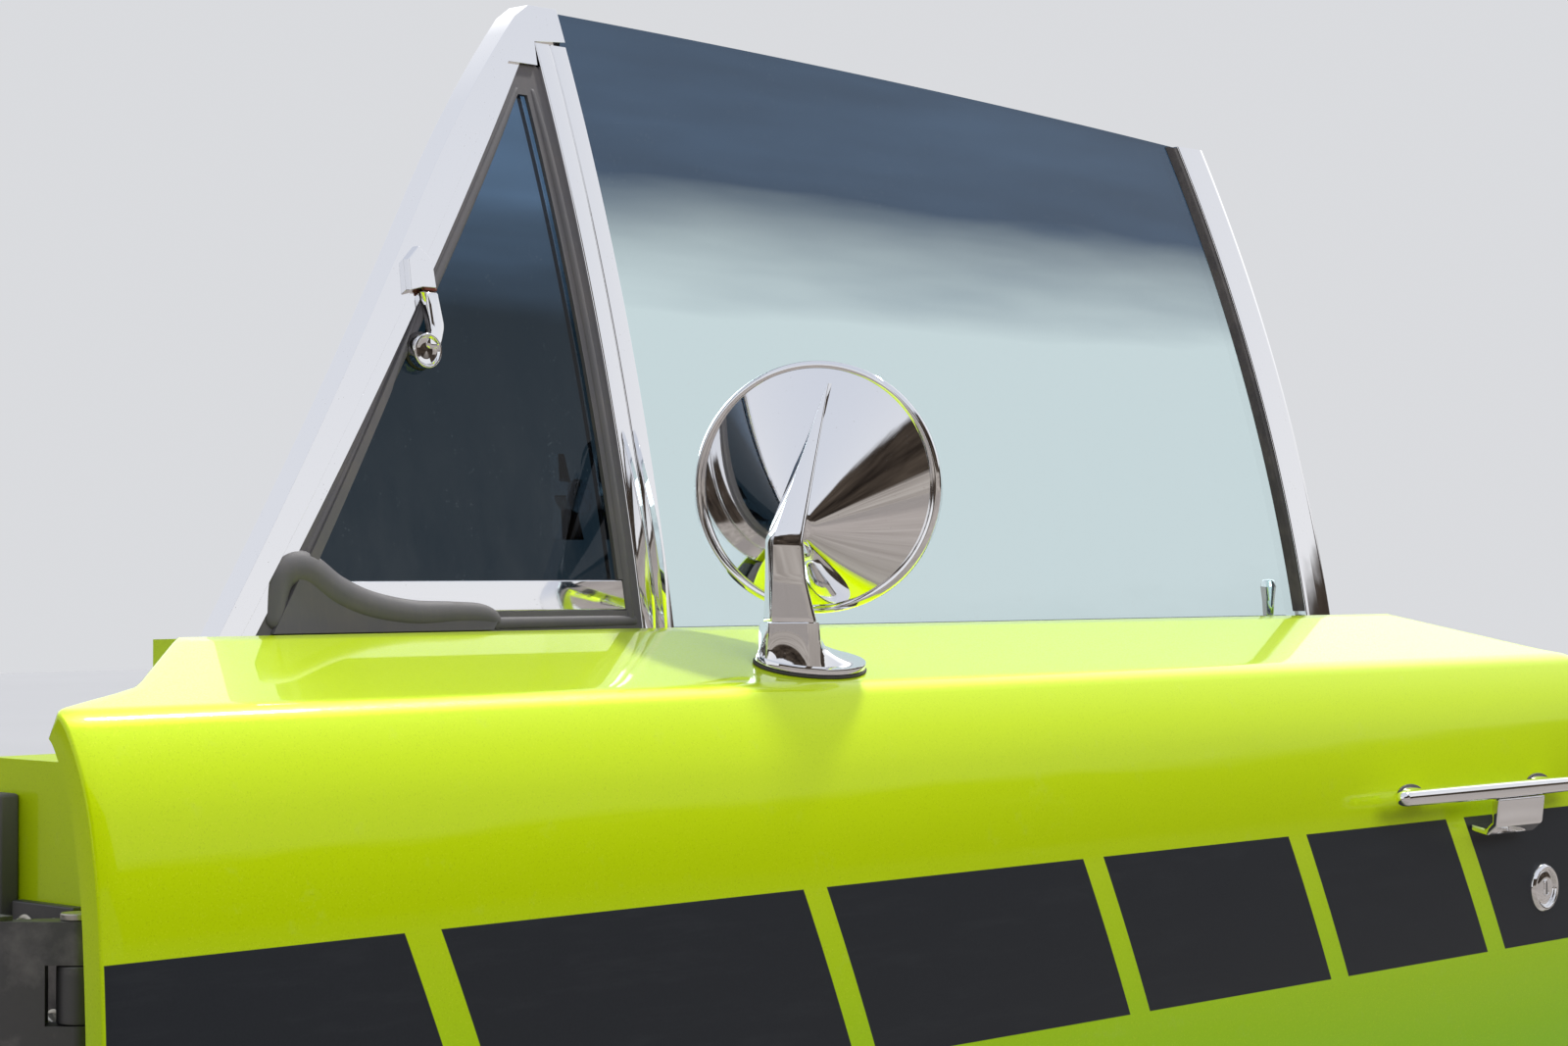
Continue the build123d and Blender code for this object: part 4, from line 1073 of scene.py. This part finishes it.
# Outside handle: a bar on two feet; each foot level is half length, half height and height off the skin
grip = {
    "x": (449, 655), "z": -104.5, "outer": -153, "inner": -142, "high": 5, "bow": 1.6, "end": 6,
    "thin": 0.12, "full": 0.8, "around": 40, "steps": 48,
    "feet": {"front": 489, "rear": 632}, "footAround": 48,
    "foot": (
        (12.6, 5.0, 2.3), (12.0, 4.7, -0.6), (10.6, 4.0, -3.0), (9.4, 3.6, -7.0), (10.2, 3.8, -12.0),
        (12, 4.2, -15.5),
    ),
    "pad": ((13.1, 5.6, 0.6), (13.5, 6.0, 0.1), (13.5, 6.0, -0.5), (13.1, 5.6, -0.95)),
}
skinLine = [(point.y, point.x) for point, heading in skinStations()]


def skinY(z):
    # how far out the pressed skin stands at a height
    for (z0, y0), (z1, y1) in zip(skinLine, skinLine[1:]):
        if z1 <= z <= z0:
            return y0 + (y1 - y0) * (z - z0) / (z1 - z0)
    return skinLine[-1][1]


def ovalOnSkin(x, long, high, out):
    ring = []
    for turn in turns(grip["footAround"]):
        z = grip["z"] + high * sin(turn)
        ring.append((x + long * cos(turn), skinY(z) + out, z))
    return ring


def gripBar():
    start, end = grip["x"]
    middle, half = (start + end) / 2, (end - start) / 2
    rings = []
    for t in span(0, pi, grip["steps"]):
        share = -cos(t)
        x = middle + half * share
        reach = min(max(half - abs(x - middle), 0.0) / grip["end"], 1.0)
        close = max(sqrt(1 - (1 - reach) ** 2), 0.04)
        outer = grip["outer"] + grip["bow"] * share * share
        depth = (grip["inner"] - outer) / 2
        thick, high = depth * close ** grip["full"], grip["high"] * (1 - grip["thin"] * share * share) * close
        rings.append([
            (x, outer + depth + thick * fuller(cos(turn), grip["full"]),
             grip["z"] + high * fuller(sin(turn), grip["full"]))
            for turn in turns(grip["around"])
        ])
    shaped("grip_bar", rings, "polished", "handle_bar")
    for name, x in grip["feet"].items():
        for part, finish in (("foot", "polished"), ("pad", "black_rubber")):
            shaped(f"grip_{part}_{name}", [ovalOnSkin(x, *level) for level in grip[part]], finish)


gripBar()
dressed("handle_trigger", "grip_trigger", "polished", 1.3, steps=4)

# Key lock: a raised ring, a dished drum and a shuttered slit; levels are share and height
lock = {
    "x": 632, "z": -169.7, "base": -122,
    "ring": rounded([
        (0.01, -4, 0), (0.01, 11.9, 0), (7, 11.7, 20), (10.4, 11.0, 1), (10.7, 10.2, 0.2), (11.3, 10.2, 0.2),
        (11.6, 12.4, 0.6), (13.2, 12.9, 0.9), (15, 10.6, 1.6), (15, -4, 0.3),
    ], 0.3, 5),
    "lock_shutter": (5.4, 2.5, "polished",
                     ((1, 11.3), (1, 12.2), (0.95, 12.45), (0.84, 12.45), (0.8, 12.2), (0.1, 12.15))),
    "lock_slit": (4.1, 0.6, "black_plastic", ((1, 11.9), (1, 12.22), (0.5, 12.22))),
}
lockMiddle = fromBelt(lock["x"], lock["base"], lock["z"])
turned("lock_ring_and_drum", lock["ring"], lockMiddle, -cabinward, 96, "lock_cylinder")
for name in ("lock_shutter", "lock_slit"):
    high, wide, finish, levels = lock[name]
    outline = rounded([(-wide, -high), (wide, -high), (wide, high), (-wide, high)], wide * 0.9, 6)
    rings = [
        [(lock["x"] + u * share, lock["base"] - height, lock["z"] + v * share) for u, v in outline]
        for share, height in levels
    ]
    shaped(name, rings, finish, sharp=40)

# Heads of bolts and screws: rings of size, height and, on a hexagon, roundness
hexHead = {
    "around": 36, "high": 5,
    "rings": [
        (1.42, 0.0, 1), (1.42, 0.09, 1), (1.36, 0.14, 1), (1.02, 0.16, 1), (1.0, 0.17, 0), (1.0, 0.82, 0),
        (0.97, 0.9, 0.15), (0.90, 1.0, 0.75), (0.80, 1.02, 1), (0.02, 1.0, 1),
    ],
}
crossHead = {
    "around": 48, "slotHalf": 0.15, "slotReach": 0.55, "slotDeep": 0.36,
    "rings": [
        (0.001, 0.30), (0.08, 0.30), (0.13, 0.30), (0.2, 0.295), (0.3, 0.29), (0.42, 0.27), (0.5, 0.26),
        (0.58, 0.24), (0.75, 0.19), (0.9, 0.12), (1.0, 0.0), (1.06, -0.02), (1.16, 0.14), (1.4, 0.16),
        (1.62, 0.08), (1.72, -0.12),
    ],
}


def onHexagon(r, turn, size, height, roundness):
    flat = r / cos((turn + pi / 6) % (pi / 3) - pi / 6)
    reach = size * (flat + (r - flat) * roundness)
    return reach * cos(turn), reach * sin(turn), hexHead["high"] * height


def onCross(r, turn, size, height):
    u, v = size * cos(turn), size * sin(turn)
    near, far = sorted((abs(u), abs(v)))
    slotted = near < crossHead["slotHalf"] and far < crossHead["slotReach"]
    return u * r, v * r, r * (height - (crossHead["slotDeep"] if slotted else 0.0))


def fastened(name, finish, head, onRing, r, out, places):
    points, faces = [], []
    side = upward.cross(out)
    up = out.cross(side)
    for place in places:
        first = len(points)
        for ring in head["rings"]:
            for turn in turns(head["around"]):
                u, v, h = onRing(r, turn, *ring)
                points.append(fromBelt(*(Vector(place) + side * u + up * v + out * h)))
        faces += ringFaces(first, len(head["rings"]), head["around"])
    piece = build(name, points, faces)
    weld(piece, 1e-7)
    settle(piece, finish, sharp=35)


# Hinges and latch
hinge = {"upper": -143, "lower": -428, "leafX": -390, "boltY": (-36, -14), "boltZ": (-19, 19), "bolt": 5.5}
latch = {"x": 705, "screws": ((-50, -222), (-50, -158), (9, -224), (9, -156)), "screw": 4.2}
for level in ("upper", "lower"):
    dressed(f"{level}_pillar_leaf", f"{level}_leaf_on_pillar", "hinge_steel", 0.9, flat=0.3, body="pillar")
    dressed(f"{level}_door_leaf", f"{level}_leaf_on_door", "hinge_steel", 0.9, flat=0.3)
    dressed(f"{level}_hinge_pin", f"{level}_pin_and_head", "zinc_steel", 0.6, flat=0.3, body="pillar")
    places = [(hinge["leafX"], y, hinge[level] + z) for y in hinge["boltY"] for z in hinge["boltZ"]]
    fastened(f"{level}_leaf_bolts", "zinc_steel", hexHead, onHexagon, hinge["bolt"], -rearward, places)
dressed("latch_case", "latch_box", "zinc_steel", 0.8)
dressed("latch_plate", "latch_wear_plate", "zinc_steel", 0.5)
dressed("latch_fork", "latch_claw", "zinc_steel", 0.6)
places = [(latch["x"], y, z) for y, z in latch["screws"]]
fastened("latch_plate_screws", "zinc_steel", crossHead, onCross, latch["screw"], rearward, places)

# Trim board: padded vinyl, its rolls and pressed lines carried on one grid
trim = {
    "x": (-366, 688), "z": (-556, -12), "corner": 24, "topCorner": 16.8, "front": -286, "rear": 632,
    "run": 30, "drop": 54, "face": 29.4, "back": 24.2, "edge": 3.6, "crown": 1.5, "crownReach": 16,
    "line": 20, "lineDeep": 1.1, "lineHalf": 1.7,
    "rolls": 4, "rollTop": -50, "rollPitch": 26, "rollHalf": 12.6, "rollHigh": 2.9, "rollEnds": (-268, 614),
    "kick": (-338, 660, -530, -424), "kickRise": 1.6, "kickDeep": 1.2, "kickHalf": 1.8, "kickInset": 3,
    "kickCorner": 9,
    "pitch": 9, "closest": 0.55, "levelFrom": -500, "levelTo": -100,
    "screw": 3.2, "screwSunk": 0.15,
    "screws": [(x, z) for x in (-356, 678) for z in (-140, -300, -460)]
    + [(x, -546) for x in (-240, -20, 200, 420, 620)],
}


def eased(t):
    t = min(max(t, 0.0), 1.0)
    return t * t * (3 - 2 * t)


def cornerInset(x, r):
    side = max(min(x - trim["x"][0], trim["x"][1] - x), 0.3)
    return r - sqrt(max(r * r - (r - min(side, r)) ** 2, 0.0))


def trimTop(x):
    dropped = eased((trim["front"] - x) / trim["run"]) + eased((x - trim["rear"]) / trim["run"])
    return trim["z"][1] - trim["drop"] * dropped - cornerInset(x, trim["topCorner"])


def trimLow(x):
    return trim["z"][0] + cornerInset(x, trim["corner"])


def trimRelief(x, z):
    edge = min(x - trim["x"][0], trim["x"][1] - x, trimTop(x) - z, z - trimLow(x))
    rise = trim["crown"] * (1 - exp(-max(edge, 0) / trim["crownReach"]))
    rise -= trim["lineDeep"] * exp(-(((edge - trim["line"]) / trim["lineHalf"]) ** 2))
    nearest = round((trim["rollTop"] - z) / trim["rollPitch"])
    if 0 <= nearest < trim["rolls"]:
        offset = (z - trim["rollTop"] + trim["rollPitch"] * nearest) / trim["rollHalf"]
        end = min(x - trim["rollEnds"][0], trim["rollEnds"][1] - x) / trim["rollHalf"]
        if abs(offset) < 1 and end > 0:
            cap = 1 - (1 - min(end, 1)) ** 2
            rise += trim["rollHigh"] * sqrt(cap * (1 - offset * offset))
    left, right, low, high = trim["kick"]
    inner = min(x - left, right - x, z - low, high - z)
    rise -= trim["kickDeep"] * exp(-((inner / trim["kickHalf"]) ** 2))
    return trim["face"] + rise


def gridMarks(first, last, dense):
    # even marks, with closer ones in each dense run of centre, reach and step
    marks = span(first, last, round((last - first) / trim["pitch"]))
    for centre, reach, step in dense:
        count = round(reach / step)
        marks += [centre + step * k for k in range(-count, count + 1)]
    marks = sorted(mark for mark in marks if first <= mark <= last)
    kept = [marks[0]]
    for mark in marks[1:]:
        if mark - kept[-1] > trim["closest"]:
            kept.append(mark)
    return kept


def trimBoard():
    r = trim["edge"]
    x0, x1 = trim["x"][0] + r, trim["x"][1] - r
    z0, z1 = trim["z"][0] + r, trim["z"][1] - r
    left, right, low, high = trim["kick"]
    rollStart, rollEnd = trim["rollEnds"]
    columns = gridMarks(x0, x1, [
        (x0, 22, 1.4), (x1, 22, 1.4), (trim["front"] - trim["run"] / 2, 17, 2.4),
        (trim["rear"] + trim["run"] / 2, 17, 2.4), (rollStart + 6, 7, 1.5), (rollEnd - 6, 7, 1.5),
        (left, 4, 1.0), (right, 4, 1.0),
    ])
    rolled = [(trim["rollTop"] - trim["rollPitch"] * k, 13, 1.3) for k in range(trim["rolls"])]
    levels = gridMarks(z0, z1, [(z0, 22, 1.4), (z1, 22, 1.4), (low, 4, 1.0), (high, 4, 1.0)] + rolled)
    above, below = trim["levelTo"], trim["levelFrom"]
    points = []
    for z in levels:
        for x in columns:
            top, foot = trimTop(x) - r, trimLow(x) + r
            height = z
            if z > above:
                height = above + (z - above) * (top - above) / (z1 - above)
            elif z < below:
                height = below - (below - z) * (below - foot) / (below - z0)
            points.append(Vector((x, trimRelief(x, height), height)))
    faces = gridFaces(len(columns), len(levels), flipped=True)
    loop = gridRim(len(columns), len(levels))
    rims = []
    for i, at in enumerate(loop):
        tangent = points[loop[(i + 1) % len(loop)]] - points[loop[i - 1]]
        out = Vector((tangent.z, 0, -tangent.x)).normalized()
        rims.append((points[at], cabinward, out, trim["face"] - trim["back"]))
    faces.append(tuple(folded(points, faces, loop, rims, r)))
    piece = build("trim_board", [fromBelt(*point) for point in points], faces)
    weld(piece, 1e-7)
    settle(piece, "black_vinyl", "trim_panel", sharp=50)


def kickCarpet():
    left, right, low, high = (
        edge + side * trim["kickInset"] for edge, side in zip(trim["kick"], (1, -1, 1, -1))
    )
    outline = rounded([(left, low), (right, low), (right, high), (left, high)], trim["kickCorner"], 5)
    base, rise = trim["face"] + trim["crown"], trim["kickRise"]
    rings = []
    for inset, height in ((0, -0.6), (0, 0.7), (0.7, 1.3), (2.0, rise), (30, rise + 0.1)):
        rings.append([
            (min(max(x, left + inset), right - inset), base + height, min(max(z, low + inset), high - inset))
            for x, z in outline
        ])
    shaped("kick_carpet", rings, "kick_carpet", sharp=50)


trimBoard()
kickCarpet()

# Bright strip between vinyl and carpet, a D in section, and the board's screws
bright = {
    "x": (-340, 662), "z": -415, "half": 3.6, "high": 2.6, "sunk": 0.3, "lip": 0.8, "full": 0.8,
    "endTurns": (0, 25, 50, 75, 90), "steps": 40, "around": 16,
}


def brightSection(x, size):
    half, high = bright["half"] * size, bright["high"] * size
    base = trim["face"] + trim["crown"] - bright["sunk"]
    ring = [
        (x, base + high * sin(turn) ** bright["full"], bright["z"] + half * cos(turn))
        for turn in span(0, pi, bright["around"])
    ]
    return ring + [(x, base - bright["lip"], bright["z"] + side * half) for side in (-1, 1)]


def brightStrip():
    (start, end), reach = bright["x"], bright["half"]
    nose = [(reach * (1 - cos(t)), max(sin(t), 0.05)) for t in map(radians, bright["endTurns"])]
    rings = [brightSection(start + inset, size) for inset, size in nose]
    rings += [brightSection(x, 1) for x in span(start + reach, end - reach, bright["steps"])[1:-1]]
    rings += [brightSection(end - inset, size) for inset, size in reversed(nose)]
    shaped("trim_bright_strip", rings, "polished", sharp=40)


brightStrip()
places = [(x, trimRelief(x, z) - trim["screwSunk"], z) for x, z in trim["screws"]]
fastened("trim_screws", "chrome", crossHead, onCross, trim["screw"], cabinward, places)

# Armrest: foam under vinyl, swollen from a slightly smaller block, with a piped seam
armrest = {
    "voxel": 0.0045, "shrink": 0.0022, "smooth": 6, "held": 33.5, "pressure": 4, "frames": 20, "cap": 0.006,
    "seam": 78, "bead": 1.9, "beadSteps": 260, "beadAround": 12, "proud": 0.9,
}


def armrestPad():
    piece = added("armrest_pad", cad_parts["armrest"].data.copy())
    weld(piece, 2e-6)
    modify(piece, "REMESH", {"mode": "VOXEL", "voxel_size": armrest["voxel"]})
    modify(piece, "SMOOTH", {"factor": 0.5, "iterations": armrest["smooth"]})
    modify(piece, "DISPLACE", {"strength": -armrest["shrink"], "mid_level": 0.0})
    applied(piece)
    held = (belt.y + armrest["held"]) * mm
    group = piece.vertex_groups.new(name="held")
    group.add([vertex.index for vertex in piece.data.vertices if vertex.co.y < held], 1.0, "REPLACE")
    home = [vertex.co.copy() for vertex in piece.data.vertices]
    cloth = piece.modifiers.new("cloth", "CLOTH")
    cloth.settings.quality = 5
    cloth.settings.vertex_group_mass = "held"
    cloth.settings.use_pressure = True
    cloth.settings.uniform_pressure_force = armrest["pressure"]
    cloth.settings.effector_weights.gravity = 0
    for step in range(1, armrest["frames"] + 1):
        bpy.context.scene.frame_set(step)
    applied(piece)
    bpy.context.scene.frame_set(1)
    for vertex, place in zip(piece.data.vertices, home):
        shift = vertex.co - place
        if shift.length > armrest["cap"]:
            vertex.co = place + shift.normalized() * armrest["cap"]
    for vertex in piece.data.vertices:
        vertex.co.y = max(vertex.co.y, (belt.y + trim["face"]) * mm)
    modify(piece, "SUBSURF", {"levels": 1, "render_levels": 1})
    applied(piece)
    settle(piece, "black_vinyl", "armrest", sharp=0)
    return piece


def contour(piece, y):
    # the longest outline where a plane across the cabin cuts a piece
    work = opened(piece.data)
    cut = bmesh.ops.bisect_plane(
        work, geom=work.verts[:] + work.edges[:] + work.faces[:], plane_co=(0, y, 0), plane_no=cabinward
    )["geom_cut"]
    work.verts.index_update()
    work.verts.ensure_lookup_table()
    near = {}
    for edge in cut:
        if isinstance(edge, bmesh.types.BMEdge):
            a, b = (vertex.index for vertex in edge.verts)
            near.setdefault(a, []).append(b)
            near.setdefault(b, []).append(a)
    best, left = [], set(near)
    while left:
        start = here = min(left)
        left.discard(start)
        walk, last = [start], None
        while True:
            ahead = [v for v in near[here] if v != last and (v in left or v == start)]
            if not ahead or ahead[0] == start:
                break
            last, here = here, ahead[0]
            left.discard(here)
            walk.append(here)
        best = max(best, walk, key=len)
    spots = [work.verts[index].co.copy() for index in best]
    work.free()
    return spots


def spaced(spots, count):
    # the closed run divided into equal steps and smoothed
    ends = spots + [spots[0]]
    reach = [0.0]
    for a, b in zip(ends, ends[1:]):
        reach.append(reach[-1] + (b - a).length)
    even, i = [], 0
    for k in range(count):
        want = reach[-1] * k / count
        while reach[i + 1] < want:
            i += 1
        t = (want - reach[i]) / max(reach[i + 1] - reach[i], 1e-9)
        even.append(ends[i].lerp(ends[i + 1], t))
    for _ in range(3):
        even = [(even[k - 1] + even[k] * 2 + even[(k + 1) % count]) / 4 for k in range(count)]
    return even


def piping(pad):
    # a round bead along the pad's seam
    spots = spaced(contour(pad, (belt.y + armrest["seam"]) * mm), armrest["beadSteps"])
    radius, proud = armrest["bead"] * mm, armrest["proud"] * mm
    heart = sum(spots, Vector()) / len(spots)
    rings = []
    for k, spot in enumerate(spots):
        along = (spots[(k + 1) % len(spots)] - spots[k - 1]).normalized()
        side = along.cross(cabinward).normalized()
        if side.dot(spot - heart) < 0:
            side = -side
        rings.append([
            spot + side * (proud + radius * cos(turn)) + cabinward * radius * sin(turn)
            for turn in turns(armrest["beadAround"])
        ])
    rings.append(rings[0])
    piece = loft("armrest_piping", rings, capped=False)
    weld(piece, 1e-7)
    settle(piece, "black_vinyl", sharp=0)


piping(armrestPad())
print("trim made")

# Window crank and inside pull: flat crowned arms on bosses, with a turned knob and an oval plate
armShape = {"steps": 8, "around": 32, "crown": 0.75, "side": 0.7}


def flatArm(name, replaced, heart, stations):
    # stations of x, height off the trim, half width, half thickness and z, from the arm's heart
    rings = []
    for x, y, half, thick, z in throughKnots(stations, armShape["steps"]):
        rings.append([
            (heart[0] + x, y + thick * fuller(sin(turn), armShape["crown"]),
             heart[1] + z + half * fuller(cos(turn), armShape["side"]))
            for turn in turns(armShape["around"])
        ])
    shaped(name, rings, "polished", replaced)


crank = {
    "heart": (30, -330), "foot": 29.8, "length": 118, "knobFoot": 51,
    "boss": rounded([
        (0.01, 0, 0), (0.01, 15.6, 0), (9, 15.0, 2), (12.5, 13.0, 2.5), (14, 6.5, 3), (21, 5.0, 1.6),
        (22, 2.2, 0.6), (22, 0, 0.3),
    ], 0.3, 4),
    "arm": [
        (-8, 41.5, 4, 1.6, 0), (-5, 41.5, 8.6, 3.0, 0), (10, 42.2, 9.2, 3.4, 0), (40, 44.6, 7.6, 3.2, 0),
        (80, 47.4, 6.6, 3.0, 0), (106, 47.8, 7.4, 3.0, 0), (122, 47.8, 7.2, 2.8, 0),
        (127.4, 47.8, 3.6, 1.6, 0),
    ],
    "knob": rounded([
        (0.01, -1, 0), (0.01, 24, 0), (7, 23.2, 4), (11.2, 19.5, 4), (12, 12, 5), (9.4, 5.6, 3),
        (6.2, 3.6, 1), (6.0, -1, 0.2),
    ], 0.3, 4),
}
x, z = crank["heart"]
turned("crank_boss", crank["boss"], fromBelt(x, crank["foot"], z), cabinward, 72)
flatArm("window_winder", "window_crank", crank["heart"], crank["arm"])
knobPlace = fromBelt(x + crank["length"], crank["knobFoot"], z)
turned("winder_knob", crank["knob"], knobPlace, cabinward, 64, "crank_knob", "black_plastic")

pull = {
    "heart": (-30, -190), "long": 36, "half": 16, "corner": 15.4, "pivot": -46, "foot": 32.6,
    "plate": (
        (1.0, 29.6), (1.0, 32.6), (0.985, 33.5), (0.955, 34.0), (0.90, 33.9), (0.86, 33.2),
        (0.80, 32.8), (0.1, 32.7),
    ),
    "boss": rounded(
        [(0.01, 0, 0), (0.01, 18.2, 0), (6, 17.8, 2), (9.2, 15.5, 2), (9.6, 8, 3), (8.2, 0, 0.3)], 0.3, 4
    ),
    "lever": [
        (-27, 46.4, 3.4, 1.6, 0), (-24, 46.4, 7.4, 3.4, 0), (-14, 46.6, 8.2, 3.9, 0), (10, 46.9, 6.6, 3.5, 0),
        (40, 47.2, 6.2, 3.1, -0.5), (62, 47.4, 7.2, 3.0, -1), (72, 47.2, 6.8, 2.8, -1),
        (76, 47.0, 3.2, 1.5, -1),
    ],
}
x, z = pull["heart"]
long, half = pull["long"], pull["half"]
oblong = [(x - long, z - half), (x + long, z - half), (x + long, z + half), (x - long, z + half)]
oblong = rounded(oblong, pull["corner"], 12)
rings = [
    [(u, height, v) for u, v in drawnIn(oblong, share, pull["heart"])] for share, height in pull["plate"]
]
shaped("inside_pull_plate", rings, "polished", "pull_plate", sharp=40)
turned("pull_boss", pull["boss"], fromBelt(pull["pivot"], pull["foot"], z), cabinward, 64)
flatArm("inside_pull_lever", "pull_lever", pull["heart"], pull["lever"])

# Lock knob on the sill
sillKnob = {
    "place": (560, 27, -12),
    "outline": rounded([
        (0.01, 0, 0), (2.5, 0, 0.2), (2.5, 9.5, 0.5), (3.4, 11, 0.8), (3.9, 20, 3), (5.0, 29, 2.5),
        (4.0, 33.4, 1.4), (0.01, 33.9, 0),
    ], 0.3, 4),
}
turned("sill_lock_knob", sillKnob["outline"], fromBelt(*sillKnob["place"]), upward, 48,
       "lock_knob", up=cabinward)
print("hardware made")

# Floor: pale where it is seen, darker in the metal's reflections
ground = {"squares": 24, "wide": 30.0, "z": -0.452}
paint = Paint("floor_paint")
cloud = paint.noise(1.4, 3)
streak = paint.noise(2.4, 6, 0.65, stretch=(0.7, 4, 1)).above(0.5, 0.35)
pale = paint.mix(cloud, (0.40, 0.405, 0.42), (0.43, 0.435, 0.45))
beige = paint.mix(streak, (0.17, 0.148, 0.135), (0.27, 0.245, 0.228))
mirrored = paint.node("ShaderNodeLightPath", {}, {}, "Is Glossy Ray")
hidden = paint.mix(mirrored, (0.10, 0.09, 0.085), beige)
paint.surface({"Base Color": paint.mix(paint.openly(), hidden, pale), "Roughness": 0.75})
marks = [mark * ground["wide"] for mark in span(-0.5, 0.5, ground["squares"])]
spots = [(x, y, ground["z"]) for y in marks for x in marks]
floor = build("studio_floor", spots, gridFaces(len(marks), len(marks)))
floor.data.materials.append(paint.material)

# Painted surroundings for the reflections: a bright patch ahead and a mottled dark band all round, which is
# taller and has a pale foot on the outboard side
world = bpy.data.worlds.new("studio")
world.use_nodes = True
bpy.context.scene.world = world
sky = Paint("sky", world.node_tree, "Generated")
x, y, z = sky.axes(sky.where)
mottle = sky.noise(6, 6, 0.7)
streaks = sky.noise(2, 4, 0.6, stretch=(1.5, 1.5, 22))
level = (1 - z * z).most(0.02).power(0.5)
patch = ((x * 0.77 + y * 0.64) / level).above(0.80, 0.2) * z.above(0.22, 0.12) * (0.62 - z).above(0.0, 0.16)
aside = ((x * 0.72 - y * 0.69) / level).above(0.78, 0.14)
beside = ((x * -0.17 - y * 0.98) / level).above(0.76, 0.08)
bandTop = 0.09 + beside * 0.49 + aside * 0.11 + (mottle - 0.5) * 0.16
footTop = beside * 0.15 + (streaks - 0.5) * 0.05
band = sky.mix(mottle.above(0.5, 0.3), (0.016, 0.012, 0.010), (0.085, 0.066, 0.052))
band = sky.mix(mottle.above(0.66, 0.06) * 0.5, band, (0.50, 0.47, 0.50))
paleFoot = sky.mix(streaks.above(0.5, 0.3), (0.28, 0.25, 0.23), (0.50, 0.46, 0.43))
around = sky.mix(z.above(0.55, 0.9), (0.87, 0.87, 0.89), (0.62, 0.66, 0.76))
around = sky.mix(patch, around, (1.6, 1.6, 1.63))
around = sky.mix((bandTop - z).above(0.0, 0.03), around, band)
around = sky.mix((footTop - z).above(0.0, 0.03), around, paleFoot)
shade = sky.mix(sky.openly(), around, (0.70, 0.71, 0.735))
glow = sky.node("ShaderNodeBackground", {}, {"Color": shade, "Strength": 1.0})
sky.node("ShaderNodeOutputWorld", {}, {"Surface": glow})

# Lamps: kind, settings, place and whether metal shows them
middle = Vector((0.55, 0.0, 0.1))
toKey = Vector((0.58, 0.06, 0.81)).normalized()
lamps = {
    "key": ("SUN", {"energy": 2.75, "angle": radians(4), "color": (1, 0.98, 0.94)}, middle + toKey * 3, True),
    "fill": (
        "AREA", {"shape": "RECTANGLE", "size": 3.0, "size_y": 1.4, "energy": 53}, (0.3, -3.0, 1.9), False,
    ),
    "cabin_fill": (
        "AREA", {"shape": "RECTANGLE", "size": 2.4, "size_y": 1.4, "energy": 40}, (0.6, 2.8, 1.6), False,
    ),
}
for name, (kind, settings, place, shown) in lamps.items():
    lamp = bpy.data.lights.new(name, kind)
    for key, value in settings.items():
        setattr(lamp, key, value)
    stand = added(name, lamp)
    stand.location = place
    stand.rotation_euler = (middle - Vector(place)).to_track_quat("-Z", "Y").to_euler()
    stand.visible_glossy = shown
print("stage made")
